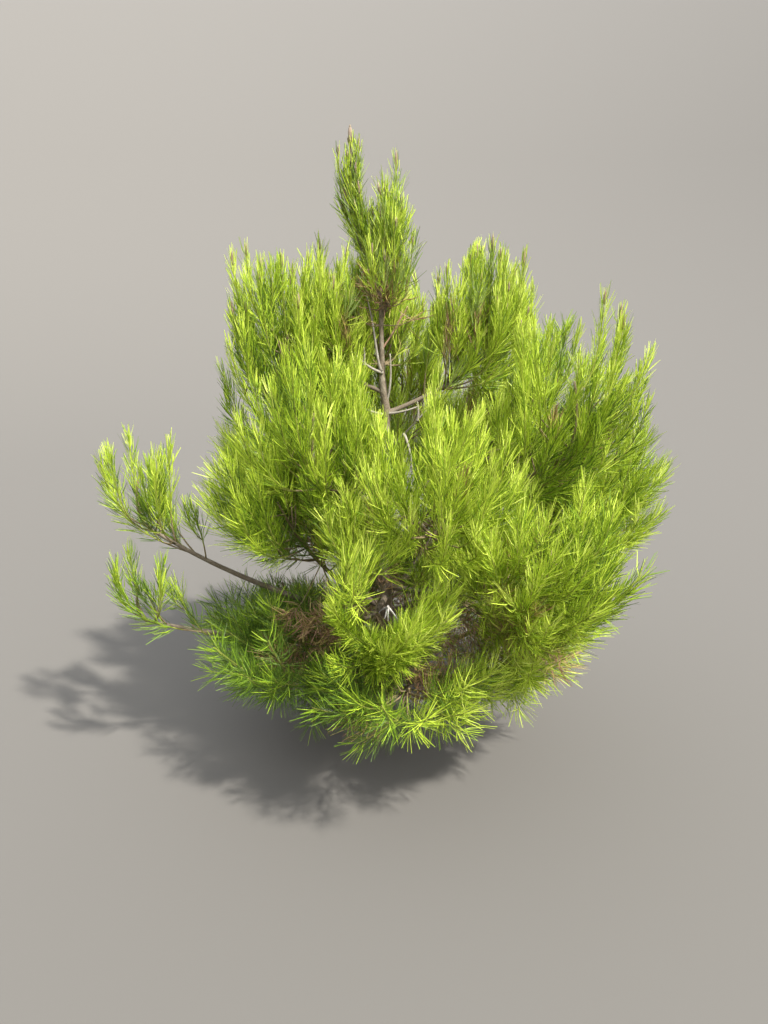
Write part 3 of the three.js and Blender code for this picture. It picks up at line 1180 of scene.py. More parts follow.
class Tone(Enum):
    """The colours of a spray, from this year's needles to the dry ones that hang on. The greens from PALE to
    DARK
    also stand for light: sprays in the sun take the lighter ones as painted light, and sprays in the shade
    the darker ones as painted shade.
    """

    # A painted highlight: the lightest green, for needles that catch the sun.
    PALE = 0xD0DC68
    FRESH = 0xC9DA52
    BRIGHT = 0xB3C83C
    GREEN = 0x97B22E
    DEEP = 0x729025
    # Old needles, darkened further as painted shade deep in the crown.
    DARK = 0x4F6A20
    OLIVE = 0x94A65C
    STRAW = 0xBCA768
    DRY = 0x8C6B52
    RUSSET = 0xA88468


TONES = list(Tone)
NEIGHBOURS = {
    Tone.PALE: (Tone.PALE, Tone.BRIGHT),
    Tone.FRESH: (Tone.PALE, Tone.GREEN),
    Tone.BRIGHT: (Tone.FRESH, Tone.DEEP),
    Tone.GREEN: (Tone.BRIGHT, Tone.DARK),
    Tone.DEEP: (Tone.GREEN, Tone.DARK),
    Tone.DARK: (Tone.DEEP, Tone.DARK),
    Tone.OLIVE: (Tone.BRIGHT, Tone.DEEP),
    Tone.STRAW: (Tone.OLIVE, Tone.DRY),
    Tone.DRY: (Tone.STRAW, Tone.RUSSET),
    Tone.RUSSET: (Tone.STRAW, Tone.DRY),
}
LIGHTER, DARKER = (np.array([TONES.index(NEIGHBOURS[tone][k]) for tone in TONES]) for k in (0, 1))


@dataclass(frozen=True)
class PineNeedle:
    """A living or dry pine needle: smooth, waxy and a little glossy along its length.

    The wax gives a soft satin light on sprays that face the lamp. The colour is plain, because each spray has
    its own.
    """

    tone: Tone
    roughness: float = 0.48
    ior: float = 1.45
    specular: float = 0.35

    def material(self) -> Material:
        """Return the needle's material.

        Returns:
            The material.
        """
        material = new_material(f"pine_needle_{self.tone.name.lower()}")
        sockets = {
            "Base Color": linear(self.tone.value),
            "Roughness": self.roughness,
            "IOR": self.ior,
            "Specular IOR Level": self.specular,
        }
        return shown(material, add_node(material, "BsdfPrincipled", sockets))


@dataclass(frozen=True)
class PineBark:
    """Young pine bark: thin, matte and scaly, with pale plates, dark cracks and lichen-grey patches.

    The plates and the grain are drawn out along the trunk. Their size and relief are in metres.
    """

    name: str
    plate: int
    crack: int
    patch: int
    plate_size: float = 0.006
    relief: float = 0.0006
    patches: float = 0.5
    drawn_out: float = 0.4
    crack_width: float = 0.16
    patch_scale: float = 30.0
    roughness: float = 0.88
    specular: float = 0.25

    def material(self) -> Material:
        """Return the bark's material, on object coordinates.

        Returns:
            The material.
        """
        material = new_material(self.name)
        node = partial(add_node, material)
        place = node("TexCoord").outputs["Object"]
        drawn_out = node("Mapping", {"Vector": place, "Scale": (1.0, 1.0, self.drawn_out)}).outputs[0]
        plates = node(
            "TexVoronoi", {"Vector": drawn_out, "Scale": 1 / self.plate_size}, feature="DISTANCE_TO_EDGE"
        ).outputs["Distance"]
        grain = node(
            "TexNoise",
            {"Vector": drawn_out, "Scale": 2.5 / self.plate_size, "Detail": 6.0, "Roughness": 0.65},
        ).outputs["Fac"]
        cracked = node("MapRange", {"Value": plates, "From Max": self.crack_width, "To Max": 0.8}).outputs[0]
        height = node("Math", {0: cracked, 1: grain}, operation="ADD").outputs[0]
        wood = node(
            "Mix", {"Factor": height, "A": linear(self.crack), "B": linear(self.plate)}, data_type="RGBA"
        ).outputs[2]
        spread = node(
            "TexNoise", {"Vector": place, "Scale": self.patch_scale, "Detail": 4.0, "Roughness": 0.6}
        ).outputs["Fac"]
        patchy = node(
            "MapRange", {"Value": spread, "From Min": 0.52, "From Max": 0.66, "To Max": self.patches}
        ).outputs[0]
        colour = node(
            "Mix", {"Factor": patchy, "A": wood, "B": linear(self.patch)}, data_type="RGBA"
        ).outputs[2]
        bump = node("Bump", {"Height": height, "Strength": 0.8, "Distance": self.relief}).outputs["Normal"]
        sockets = {
            "Base Color": colour,
            "Roughness": self.roughness,
            "Specular IOR Level": self.specular,
            "Normal": bump,
        }
        return shown(material, node("BsdfPrincipled", sockets))


TRUNK_BARK = PineBark("young_pine_bark", plate=0x857866, crack=0x483D31, patch=0xB3AA98, patches=0.4)
LIMB_BARK = PineBark("pine_bough_bark", plate=0x7A6E5E, crack=0x463C30, patch=0xA39A8A, plate_size=0.004,
                     patches=0.4)
PALE_BARK = PineBark("pale_pine_bark", plate=0xA89F92, crack=0x6A6054, patch=0xCCC6BB, plate_size=0.004)
TWIG_BARK = PineBark("pine_twig_bark", plate=0x8A7A5C, crack=0x5C4E34, patch=0xA89C80, plate_size=0.003,
                     relief=0.0003, patches=0.3)
YOUNG_SHOOT = PineBark("young_pine_shoot", plate=0x8F9442, crack=0x626E28, patch=0xA8A468, plate_size=0.003,
                       relief=0.0003, patches=0.3)
BUD_SCALES = PineBark("pine_bud_scales", plate=0x9A8672, crack=0x6E5A4A, patch=0xBBAA98, plate_size=0.0025,
                      relief=0.0004, patches=0.6)
# Nearly white: the bleached grey of dead pine, lightened further as painted sunlight on the snag, which hangs
# in the crown's shade.
DEAD_WOOD = PineBark("bleached_dead_pine", plate=0xEDEAE2, crack=0xB4AEA4, patch=0xFBFAF6, plate_size=0.004,
                     relief=0.0005, patches=0.7)
DRY_TWIG = PineBark("dry_pine_twig", plate=0xC09A80, crack=0x8A6650, patch=0xD6C0AC, plate_size=0.003,
                    relief=0.0003)


# Meshes


@dataclass
class Blades:
    """Needles and tubes as arrays: vertices, faces and the number of the material of each face."""

    corners: list[Vec] = field(default_factory=list)
    quads: list[Vec] = field(default_factory=list)
    triangles: list[Vec] = field(default_factory=list)
    quad_looks: list[Vec] = field(default_factory=list)
    triangle_looks: list[Vec] = field(default_factory=list)
    count: int = 0

    def add(self, corners: Vec, quads: Vec, quad_looks: Vec, triangles: Vec, triangle_looks: Vec) -> None:
        """Add a set of faces.

        Args:
            corners: The vertices, one in each row.
            quads: The corners of the faces with four sides.
            quad_looks: The number of the material of each of them.
            triangles: The corners of the faces with three sides.
            triangle_looks: The number of the material of each of them.
        """
        self.corners.append(corners)
        self.quads.append(quads.reshape(-1, 4) + self.count)
        self.triangles.append(triangles.reshape(-1, 3) + self.count)
        self.quad_looks.append(quad_looks)
        self.triangle_looks.append(triangle_looks)
        self.count += len(corners)

    def size(self) -> int:
        """Return how many triangles all the faces make."""
        return sum(2 * len(quads) for quads in self.quads) + sum(map(len, self.triangles))

    def mesh(self, smooth: bool = False) -> bpy.types.Mesh:
        """Return all the faces as one mesh.

        Args:
            smooth: Whether light runs smoothly over its edges.

        Returns:
            The mesh.
        """
        corners = np.concatenate(self.corners).astype(np.float32)
        quads, triangles = np.concatenate(self.quads), np.concatenate(self.triangles)
        faces = len(quads) + len(triangles)
        starts = np.concatenate([np.arange(len(quads)) * 4, len(quads) * 4 + np.arange(len(triangles)) * 3])
        mesh = bpy.data.meshes.new("blades")
        mesh.vertices.add(len(corners))
        mesh.vertices.foreach_set("co", corners.ravel())
        mesh.loops.add(quads.size + triangles.size)
        around = np.concatenate([quads.ravel(), triangles.ravel()]).astype(np.int32)
        mesh.loops.foreach_set("vertex_index", around)
        mesh.polygons.add(faces)
        mesh.polygons.foreach_set("loop_start", starts.astype(np.int32))
        looks = np.concatenate([*self.quad_looks, *self.triangle_looks]).astype(np.int32)
        mesh.polygons.foreach_set("material_index", looks)
        mesh.polygons.foreach_set("use_smooth", np.full(faces, smooth))
        mesh.update(calc_edges=True)
        mesh.validate()
        return mesh


def frames_along(line: Line, shares: Vec) -> tuple[Vec, Vec, Vec, Vec]:
    """Return the points of a line, its directions there and two directions square to each, without a twist.

    Args:
        line: The line.
        shares: Shares of its length.

    Returns:
        Points, directions, sides and other sides, one in each row.
    """
    points, ways = line.even(shares), line.ways(shares)
    helper = np.eye(3)[int(np.argmin(np.abs(ways.mean(axis=0))))]
    side = unit(np.cross(ways, helper))
    return points, ways, side, np.cross(ways, side)


def add_tube(blades: Blades, line: Line, radii: Sequence[float], sides: int, young_from: float = 1.0) -> None:
    """Add a closed twig along a line.

    Args:
        blades: The arrays that it is added to.
        line: The twig's line.
        radii: Its radius at even steps along it.
        sides: How many sides it has.
        young_from: The share of its length beyond which it takes the second material.
    """
    rings = len(radii) - 1
    points, _, side, other = frames_along(line, np.linspace(0, 1, rings + 1))
    turns = 2 * math.pi * np.arange(sides) / sides
    round_it = side[:, None] * np.cos(turns)[None, :, None] + other[:, None] * np.sin(turns)[None, :, None]
    corners = (points[:, None] + np.asarray(radii)[:, None, None] * round_it).reshape(-1, 3)
    corners = np.concatenate([corners, points[:1], points[-1:]])
    ring, k = np.meshgrid(np.arange(rings), np.arange(sides), indexing="ij")
    after = (k + 1) % sides
    low, high = ring * sides, (ring + 1) * sides
    quads = np.stack([low + k, low + after, high + after, high + k], -1)
    k, after = np.arange(sides), (np.arange(sides) + 1) % sides
    foot, top = np.full(sides, len(corners) - 2), np.full(sides, len(corners) - 1)
    last = rings * sides
    caps = np.concatenate([np.stack([after, k, foot], -1), np.stack([last + k, last + after, top], -1)])
    looks = np.repeat((np.arange(rings) + 0.5 > young_from * rings).astype(int), sides)
    blades.add(corners, quads, looks, caps, np.repeat([0, looks[-1]], sides))


@dataclass(frozen=True)
class Spray:
    """The needles of one shoot, in pairs that stand a golden angle apart.

    A needle is a slim blade of two faces, bent at its middle. It is wider than life, so that the crown is as
    dense as the real one with fewer needles. Angles are in degrees, and a pair of numbers is a range.
    """

    habit: Habit
    per_metre: float = 640.0
    width: float = 0.0021
    fewest: int = 8
    end: float = 0.995
    bend: float = 7.0
    pair_angle: float = 5.0
    pair_spread: float = 2.0
    bend_at: float = 0.36
    blunt: float = 0.5
    loose: float = 9.0
    curl: float = 0.12
    turn_varies: float = 0.25
    opens: Span = (0.85, 1.2)
    lengths: Span = (0.8, 1.08)
    growths: Span = (0.88, 1.08)
    widths: Span = (0.75, 1.25)
    shortens: float = 2.5
    young_from: float = 0.78
    lighter: float = 0.25
    darker: float = 0.28

    def grow(self, blades: Blades, shoot: Shoot, looks: tuple[int, int], rng: Rng) -> None:
        """Add the needles of a shoot.

        Args:
            blades: The arrays that they are added to.
            shoot: The shoot.
            looks: The numbers of the materials of its older and of its youngest needles.
            rng: The source of small differences.
        """
        habit = self.habit
        leafy = shoot.line.length() * (1 - shoot.bare)
        pairs = max(self.fewest, int(self.per_metre * leafy / 2))
        grown = np.repeat((np.arange(pairs) + rng.uniform(0, 1, pairs)) / pairs, 2)
        which = np.repeat(np.arange(pairs), 2)
        half = np.tile([-1.0, 1.0], pairs)
        roots, ways, side, other = frames_along(shoot.line, lerp(shoot.bare, self.end, grown))
        turns = GOLDEN_ANGLE * which + rng.normal(0, self.turn_varies, pairs)[which]
        turns = turns + half * math.radians(self.pair_angle)
        radial = side * np.cos(turns)[:, None] + other * np.sin(turns)[:, None]
        opened = rng.uniform(*self.opens)
        angles = lerp(habit.wide, habit.narrow, grown) * opened + rng.normal(0, self.loose, pairs)[which]
        angles = np.abs(angles + half * self.pair_spread)
        near, far = np.radians(angles + self.bend)[:, None], np.radians(angles - self.bend)[:, None]
        shorter = 1 - habit.tip_short * grown**self.shortens
        lengths = habit.needle * shorter * rng.uniform(*self.lengths, 2 * pairs)
        lengths = lengths[:, None] * rng.uniform(*self.growths)
        first = ways * np.cos(near) + radial * np.sin(near)
        curl = rng.normal(0, self.curl, (pairs, 3))[which]
        second = unit(ways * np.cos(far) + radial * np.sin(far) + UP * habit.upsweep + curl)
        roots = roots + radial * shoot.skin
        middles = roots + first * lengths * self.bend_at
        tips = middles + second * lengths * (1 - self.bend_at)
        widths = self.width / 2 * rng.uniform(*self.widths, 2 * pairs)[:, None]
        flat = unit(np.cross(first, rng.normal(size=(2 * pairs, 3)))) * widths
        end = flat * self.blunt
        corners = np.stack([roots, middles + flat, middles - flat, tips + end, tips - end], axis=1)
        start = 5 * np.arange(2 * pairs)[:, None]
        triangles, strips = start + np.array([0, 1, 2]), start + np.array([2, 1, 3, 4])
        look = np.where(grown > self.young_from, looks[1], looks[0])
        odds = rng.uniform(0, 1, 2 * pairs)
        darkened = np.where(odds > 1 - self.darker, DARKER[look], look)
        look = np.where(odds < self.lighter, LIGHTER[look], darkened)
        blades.add(corners.reshape(-1, 3), strips, look, triangles, look)


def linked(name: str, data: bpy.types.ID) -> bpy.types.Object:
    """Return a new object in the scene for a mesh, a lamp or a camera.

    Args:
        name: Its name.
        data: The mesh, lamp or camera.

    Returns:
        The object.
    """
    thing = bpy.data.objects.new(name, data)
    bpy.context.scene.collection.objects.link(thing)
    return thing


def add_piece(
    name: str,
    mesh: bpy.types.Mesh,
    materials: Sequence[Material],
    slot: str,
    *nodes: str,
) -> None:
    """slot: A material slot for its finish; it is not used.
        nodes: The solids that it stands for.
    """
    mesh.name = name
    for material in materials:
        mesh.materials.append(material)
    piece = linked(name, mesh)
    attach(piece, BODY)
    if nodes:
        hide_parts(*nodes)
    LOG.info("%s: %d faces", name, len(mesh.polygons))


class Wood:
    """A mesh of closed limbs, each made from a cylinder whose rings are laid along the limb."""

    def __init__(self) -> None:
        """Start with no limb."""
        self.bm = bmesh.new()

    def add(self, sides: int, rings: int, place: Callable[[float, float], Vec]) -> None:
        """Add a limb.

        Args:
            sides: How many sides it has.
            rings: How many lengths it is made of.
            place: Gives the place of the skin at a share of the length and a turn round it.
        """
        limb = bmesh.new()
        bmesh.ops.create_cone(
            limb, cap_ends=True, cap_tris=False, segments=sides, radius1=1, radius2=1, depth=1
        )
        upright = [edge for edge in limb.edges if abs(edge.verts[0].co.z - edge.verts[1].co.z) > 0.5]
        bmesh.ops.subdivide_edges(limb, edges=upright, cuts=rings - 1, use_grid_fill=True)
        for vert in limb.verts:
            vert.co = Vector(place(vert.co.z + 0.5, math.atan2(vert.co.y, vert.co.x)))
        shape = bpy.data.meshes.new("limb")
        limb.to_mesh(shape)
        limb.free()
        self.bm.from_mesh(shape)
        bpy.data.meshes.remove(shape)

    def mesh(self) -> bpy.types.Mesh:
        """Return all limbs as one mesh.

        Returns:
            The mesh.
        """
        bmesh.ops.recalc_face_normals(self.bm, faces=self.bm.faces)
        for face in self.bm.faces:
            face.smooth = len(face.verts) == 4
        mesh = bpy.data.meshes.new("wood")
        self.bm.to_mesh(mesh)
        self.bm.free()
        return mesh


@dataclass(frozen=True)
class BarkRelief:
    """The relief of young pine bark: plates drawn out along the limb, cracks, and scars of fallen shoots."""

    plate: float = 0.011
    drawn_out: float = 0.35
    depth: float = 0.06
    ridged: float = 0.7
    scaly: float = 0.35
    scale_finer: float = 3.1

    def swell(self, point: Vec) -> float:
        """Return the share by which the skin stands out at a point.

        Args:
            point: The point.

        Returns:
            A share of the limb's radius.
        """
        stretched = Vector((point[0], point[1], point[2] * self.drawn_out)) / self.plate
        ridges = 1 - 2 * abs(noise.noise(stretched))
        scales = noise.noise(stretched * self.scale_finer)
        return self.depth * (self.ridged * ridges + self.scaly * scales)


@dataclass
class TrunkBark:
    """The trunk's skin: flare, bark relief and the swellings where boughs leave it. Its top is slimmer."""

    sides: int = 40
    rings: int = 420
    ring_power: float = 1.15
    collar: float = 0.22
    collar_height: float = 0.016
    collars_at: float = 0.1
    slim: float = 0.30
    slim_from: float = 1.16
    slim_to: float = 1.30
    relief: BarkRelief = field(default_factory=BarkRelief)

    def build(self, crown: Crown) -> None:
        """Make the trunk, with collars where the crown's boughs leave it.

        Args:
            crown: The plan of the crown.
        """
        heights = np.array([float(mass.bough.points[0][2]) for mass in crown.masses])
        ways = [mass.bough.ways(self.collars_at)[0] for mass in crown.masses]
        sides = np.array([math.atan2(way[1], way[0]) for way in ways])

        def place(share: float, turn: float) -> Vec:
            """Return the skin's place.

            Args:
                share: The share of its length.
                turn: The turn round it, in radians.

            Returns:
                The point.
            """
            height = TRUNK.height * share**self.ring_power
            lobe = 1 + TRUNK.lobe_share * math.cos(TRUNK.lobes * turn)
            radius = TRUNK.radius(height) + TRUNK.flare * lobe * math.exp(-height / TRUNK.flare_height)
            radius *= 1 - self.slim * ramp(height, self.slim_from, self.slim_to)
            facing = np.maximum(0, np.cos(turn - sides)) ** 2
            swollen = float(np.sum(facing * np.exp(-(((height - heights) / self.collar_height) ** 2))))
            middle = TRUNK.at(height)
            way = np.array([math.cos(turn), math.sin(turn), 0.0])
            bark = self.relief.swell(middle + way * radius) if height > 0 else 0.0
            return middle + way * radius * (1 + self.collar * min(1.0, swollen) + bark)

        wood = Wood()
        wood.add(self.sides, self.rings, place)
        add_piece("trunk_bark", wood.mesh(), [TRUNK_BARK.material()], "bark", "trunk")


@dataclass(frozen=True)
class LimbSkin:
    """The skin of a limb along a line, with bark relief.

    It widens at its root by the collar, a share of its radius, and may end in splinters that stand out by
    ragged.
    """

    line: Line
    root: float
    tip: float
    sides: int = 12
    rings: int = 56
    collar: float = 0.55
    collar_length: float = 0.014
    ragged: float = 0.0
    relief: BarkRelief = BarkRelief(plate=0.007, depth=0.08)
    splinters: float = 9

    def add_to(self, wood: Wood) -> None:
        """Add the limb to a mesh.

        Args:
            wood: The mesh.
        """
        points, ways, side, other = frames_along(self.line, np.linspace(0, 1, self.rings + 1))
        length = self.line.length()

        def place(share: float, turn: float) -> Vec:
            """Return the skin's place.

            Args:
                share: The share of its length.
                turn: The turn round it, in radians.

            Returns:
                The point.
            """
            ring = round(share * self.rings)
            radius = lerp(self.root, self.tip, share)
            radius *= 1 + self.collar * math.exp(-share * length / self.collar_length)
            radial = side[ring] * math.cos(turn) + other[ring] * math.sin(turn)
            point = points[ring] + radial * radius
            if ring == self.rings:
                point = point + ways[ring] * self.ragged * noise.noise(Vector(radial) * self.splinters)
            return point + radial * radius * self.relief.swell(point)

        wood.add(self.sides, self.rings, place)


@dataclass
class Boughs:
    """The boughs, from their collars at the trunk to the foot of each mass."""

    def build(self, crown: Crown) -> None:
        """Make every bough as a piece of its own."""
        bark = LIMB_BARK.material()
        for mass in crown.masses:
            wood = Wood()
            LimbSkin(mass.bough, mass.root_radius, BOUGH.tip_radius).add_to(wood)
            add_piece(f"bough_bark_{mass.name}", wood.mesh(), [bark], "limb", f"bough_{mass.name}")


@dataclass(frozen=True)
class DeadLimb:
    """A dead limb that leaves the trunk and sags a little on its way up."""

    whorl: float
    turn: float
    length: float
    rise: float
    radius: float
    tip_radius: float
    sag: float = 0.06

    def line(self) -> Curve:
        """Return the limb's line.

        Returns:
            The line.
        """
        root = TRUNK.at(self.whorl)
        end = root + risen(outwards(self.turn), self.rise) * self.length
        bend = (root + end) / 2 - UP * self.sag * self.length
        return Curve((root, bend, end))


def bent(root: Vec, end: Vec, bend: float) -> Curve:
    """Return a line from root to end that bends upwards in its middle."""
    return Curve((root, (root + end) / 2 + UP * bend, end))


@dataclass
class DeadWood:
    """The snag with bleached, splayed stubs low on the trunk, painted near white as sunlight, and the bare
    dead twig above the fork.
    """

    snag: DeadLimb = DeadLimb(whorl=0.440, turn=274, length=0.088, rise=0.4, radius=0.0055, tip_radius=0.004)
    twig: DeadLimb = DeadLimb(whorl=1.300, turn=-14, length=0.150, rise=0.62, radius=0.003, tip_radius=0.0012)
    grain: BarkRelief = BarkRelief(plate=0.004, drawn_out=0.2, depth=0.12)
    stubs: int = 5
    stubs_at: float = 0.93
    stub_length: float = 0.060
    stub_shorter: float = 0.08
    stub_radius: float = 0.0034
    stub_taper: float = 0.4
    stub_bend: float = 0.004
    least_lean: float = 20
    lean_step: float = 17
    leans: int = 3
    splinters: float = 0.006
    twiglets: tuple[Triple, ...] = ((0.45, 40.0, 0.05), (0.68, -35.0, 0.038), (0.82, 30.0, 0.03))
    twiglet_turn: float = 0.6
    twiglet_bend: float = 0.003
    twiglet_radii: Span = (0.0012, 0.0006)

    def build(self) -> None:
        """Make both."""
        line, wood = self.snag.line(), Wood()
        skin = partial(LimbSkin, relief=self.grain)
        skin(line, self.snag.radius, self.snag.tip_radius, rings=24, ragged=self.splinters).add_to(wood)
        root = line.at(self.stubs_at)[0]
        for k in range(self.stubs):
            lean = self.least_lean + self.lean_step * ((2 * k) % self.leans)
            way = fanned(-UP, math.radians(lean), GOLDEN_ANGLE * k)
            stub = bent(root, root + way * self.stub_length * (1 - self.stub_shorter * k), self.stub_bend)
            skin(stub, self.stub_radius, self.stub_radius * self.stub_taper, sides=8, rings=14, collar=0.2,
                 ragged=self.splinters / 2).add_to(wood)
        add_piece("bleached_snag", wood.mesh(), [DEAD_WOOD.material()], "dead_wood", "dead_snag")
        line, wood = self.twig.line(), Wood()
        LimbSkin(line, self.twig.radius, self.twig.tip_radius, sides=8, rings=30, collar=0.3).add_to(wood)
        for share, angle, length in self.twiglets:
            root, way = line.spot(share)
            end = root + fanned(way, math.radians(angle), self.twiglet_turn) * length
            twiglet = bent(root, end, self.twiglet_bend)
            LimbSkin(twiglet, *self.twiglet_radii, sides=6, rings=8, collar=0.2).add_to(wood)
        add_piece("dry_twig", wood.mesh(), [DRY_TWIG.material()], "dead_wood", "dead_twig")


@dataclass
class BareTwigs:
    """The thin leafless twigs that show on the trunk round its fork."""

    lines: tuple[tuple[Triple, ...], ...] = (
        ((0.006, 0.0, 1.104), (-0.045, -0.02, 1.11), (-0.098, -0.03, 1.150)),
        ((0.006, 0.0, 1.106), (0.05, -0.03, 1.112), (0.105, -0.03, 1.134)),
        ((-0.004, -0.004, 1.232), (-0.035, -0.014, 1.240), (-0.075, -0.02, 1.268), (-0.108, -0.022, 1.318)),
        ((-0.060, -0.016, 1.256), (-0.057, -0.018, 1.28), (-0.060, -0.016, 1.31)),
        ((-0.008, -0.004, 1.236), (-0.026, -0.014, 1.28), (-0.024, -0.016, 1.36), (-0.052, -0.018, 1.46)),
        ((0.003, 0.0, 1.135), (0.026, -0.012, 1.18), (0.018, -0.016, 1.29)),
        ((0.002, 0.0, 0.985), (0.040, -0.05, 1.030), (0.080, -0.09, 1.080), (0.125, -0.10, 1.135)),
        ((0.061, -0.065, 1.056), (0.080, -0.10, 1.020), (0.084, -0.11, 0.960)),
        ((0.099, -0.091, 1.103), (0.104, -0.10, 1.13), (0.098, -0.10, 1.16)),
    )
    root: float = 0.0043
    tip: float = 0.0020

    def build(self) -> None:
        """Make them as one piece."""
        wood = Wood()
        for points in self.lines:
            line = Curve(tuple(np.array(point) for point in points))
            skin = LimbSkin(line, self.root, self.tip, sides=8, rings=20, collar=0.4, collar_length=0.008)
            skin.add_to(wood)
        add_piece("bare_twigs", wood.mesh(), [PALE_BARK.material()], "limb")


@dataclass
class Buds:
    """The long scaly buds that stand like candles at the tips of the upper shoots.

    The leader's own is round its tip, with small ones round its foot.
    """

    profile: tuple[float, ...] = (0.55, 0.9, 1.0, 0.9, 0.62, 0.12)
    slimness: float = 10.0
    sides: int = 6
    sunk: float = 0.15
    straight: float = 0.5
    bend: float = 0.6
    upright: float = 0.4
    leader: tuple[float, ...] = (0.0045, 0.0058, 0.0062, 0.0058, 0.0062, 0.0056, 0.0042, 0.0012)
    leader_sides: int = 10
    leader_ends: Span = (0.046, 0.002)
    leader_top: float = 0.05
    small: int = 3
    small_turn: float = 30
    small_below: float = 0.044
    small_apart: float = 0.006
    small_length: float = 0.018
    small_upright: float = 2.0
    blades: Blades = field(default_factory=Blades)

    def add(self, tip: Vec, way: Vec, length: float) -> None:
        """Add a bud.

        Args:
            tip: The tip of the shoot that it stands on.
            way: The direction of the shoot there.
            length: The bud's length.
        """
        root = tip - way * length * self.sunk
        top = root + way * length * self.bend + UP * length * self.upright
        line = Curve((root, root + way * length * self.straight, top))
        add_tube(self.blades, line, [width * length / self.slimness for width in self.profile], self.sides)

    def build(self) -> None:
        """Add the leader's own bud with the small ones round its foot, and make the piece."""
        top = TRUNK.at(TRUNK.height)
        way = unit(top - TRUNK.at(TRUNK.height - self.leader_top))
        line = Curve(tuple(top - way * below for below in self.leader_ends))
        add_tube(self.blades, line, self.leader, self.leader_sides)
        for k in range(self.small):
            side = outwards(self.small_turn + 360 / self.small * k)
            foot = top - way * self.small_below + side * self.small_apart
            self.add(foot, unit(way * self.small_upright + side), self.small_length)
        add_piece("buds", self.blades.mesh(smooth=True), [BUD_SCALES.material()], "limb")


class Leaves(Enum):
    """The older and the youngest needles of a tuft: dry ones, or green ones painted darker as shade or
    lighter as sunlight.
    """

    DEAD = (Tone.DRY, Tone.RUSSET)
    SHADED = (Tone.DEEP, Tone.BRIGHT)
    SUNLIT = (Tone.GREEN, Tone.FRESH)


@dataclass(frozen=True)
class Tuft:
    """A tuft of needles inside the crown: where it hangs, and the heading and length of its shoot."""

    place: Triple
    heading: Triple
    length: float
    per_metre: float = 700
    leaves: Leaves = Leaves.DEAD


LOW_BROWN = (
    ((0.112, -0.46, 0.505), (0.1, -0.2, -1.0), 0.07), ((0.125, -0.45, 0.47), (0.3, -0.1, -1.0), 0.05),
    ((0.105, -0.45, 0.45), (-0.2, -0.1, -1.0), 0.05), ((-0.260, -0.28, 0.55), (-0.5, -0.5, 0.3), 0.05),
    ((-0.225, -0.29, 0.57), (-0.1, -0.6, -0.5), 0.05), ((-0.195, -0.28, 0.535), (0.0, -0.5, 0.4), 0.06),
    ((-0.170, -0.28, 0.51), (0.4, -0.5, -0.4), 0.06), ((-0.135, -0.27, 0.545), (0.5, -0.5, 0.2), 0.05),
    ((-0.105, -0.27, 0.52), (0.3, -0.5, -0.6), 0.05), ((-0.06, -0.18, 0.50), (-0.3, -0.5, 0.3), 0.06),
    ((-0.20, -0.30, 0.49), (0.2, -0.6, -0.2), 0.06), ((-0.15, -0.31, 0.50), (-0.3, -0.6, 0.3), 0.05),
    ((-0.23, -0.32, 0.53), (0.1, -0.6, 0.5), 0.05), ((-0.04, -0.16, 0.44), (0.2, -0.5, -0.4), 0.06),
    ((0.015, -0.22, 0.69), (0.2, -0.6, -0.4), 0.06), ((0.10, -0.22, 0.77), (0.2, -0.6, -0.2), 0.05),
    ((0.165, -0.36, 0.55), (0.2, -0.6, -0.2), 0.05), ((0.230, -0.24, 0.50), (0.2, -0.5, 0.5), 0.06),
    ((0.275, -0.22, 0.47), (0.5, -0.4, 0.1), 0.06), ((0.300, -0.18, 0.43), (0.3, -0.5, -0.4), 0.06),
    ((0.235, -0.18, 0.42), (-0.2, -0.5, -0.3), 0.06), ((0.330, -0.20, 0.50), (0.5, -0.4, 0.5), 0.06),
)
SHADED_GREEN = (
    ((0.18, -0.10, 0.46), (0.2, -0.6, 0.5)), ((0.25, -0.08, 0.44), (0.3, -0.6, 0.3)),
    ((0.14, -0.03, 0.50), (0.1, -0.4, 0.8)), ((0.22, 0.02, 0.45), (0.2, -0.4, 0.8)),
    ((0.10, 0.08, 0.52), (0.1, -0.4, 0.8)), ((-0.02, 0.08, 0.50), (-0.1, -0.4, 0.8)),
    ((-0.10, 0.03, 0.53), (-0.2, -0.5, 0.7)), ((0.05, 0.04, 0.58), (0.1, -0.6, 0.6)),
    ((0.33, -0.06, 0.42), (0.4, -0.5, 0.4)), ((-0.060, -0.14, 0.60), (-0.3, -0.7, 0.2)),
    ((0.075, -0.16, 0.62), (0.2, -0.7, 0.1)), ((0.150, -0.18, 0.60), (0.3, -0.7, 0.2)),
    ((0.05, 0.25, 0.55), (0.0, 0.6, 0.5)), ((-0.03, 0.28, 0.52), (-0.2, 0.6, 0.4)),
    ((0.12, 0.28, 0.50), (0.2, 0.6, 0.4)), ((-0.10, 0.22, 0.60), (-0.3, 0.6, 0.5)),
    ((0.00, 0.20, 0.62), (0.0, 0.6, 0.6)), ((0.08, 0.18, 0.60), (0.2, 0.6, 0.5)),
    ((-0.08, 0.30, 0.46), (-0.3, 0.6, 0.3)), ((0.16, 0.22, 0.57), (0.4, 0.6, 0.4)),
)
SUNLIT_GREEN = (
    ((0.281, -0.340, 0.441), (0.5, -0.4, 0.4)), ((0.359, -0.300, 0.469), (0.6, -0.3, 0.5)),
    ((0.440, -0.260, 0.481), (0.7, -0.3, 0.5)), ((0.529, -0.200, 0.468), (0.8, -0.2, 0.5)),
    ((0.335, -0.300, 0.351), (0.5, -0.5, 0.3)), ((0.416, -0.260, 0.362), (0.6, -0.4, 0.4)),
    ((0.505, -0.200, 0.363), (0.8, -0.3, 0.4)), ((0.253, -0.360, 0.353), (0.4, -0.5, 0.3)),
    ((0.395, -0.240, 0.285), (0.6, -0.4, 0.3)), ((0.489, -0.160, 0.292), (0.8, -0.3, 0.3)),
    ((0.350, -0.240, 0.538), (0.5, -0.4, 0.6)), ((0.443, -0.220, 0.561), (0.6, -0.3, 0.6)),
)
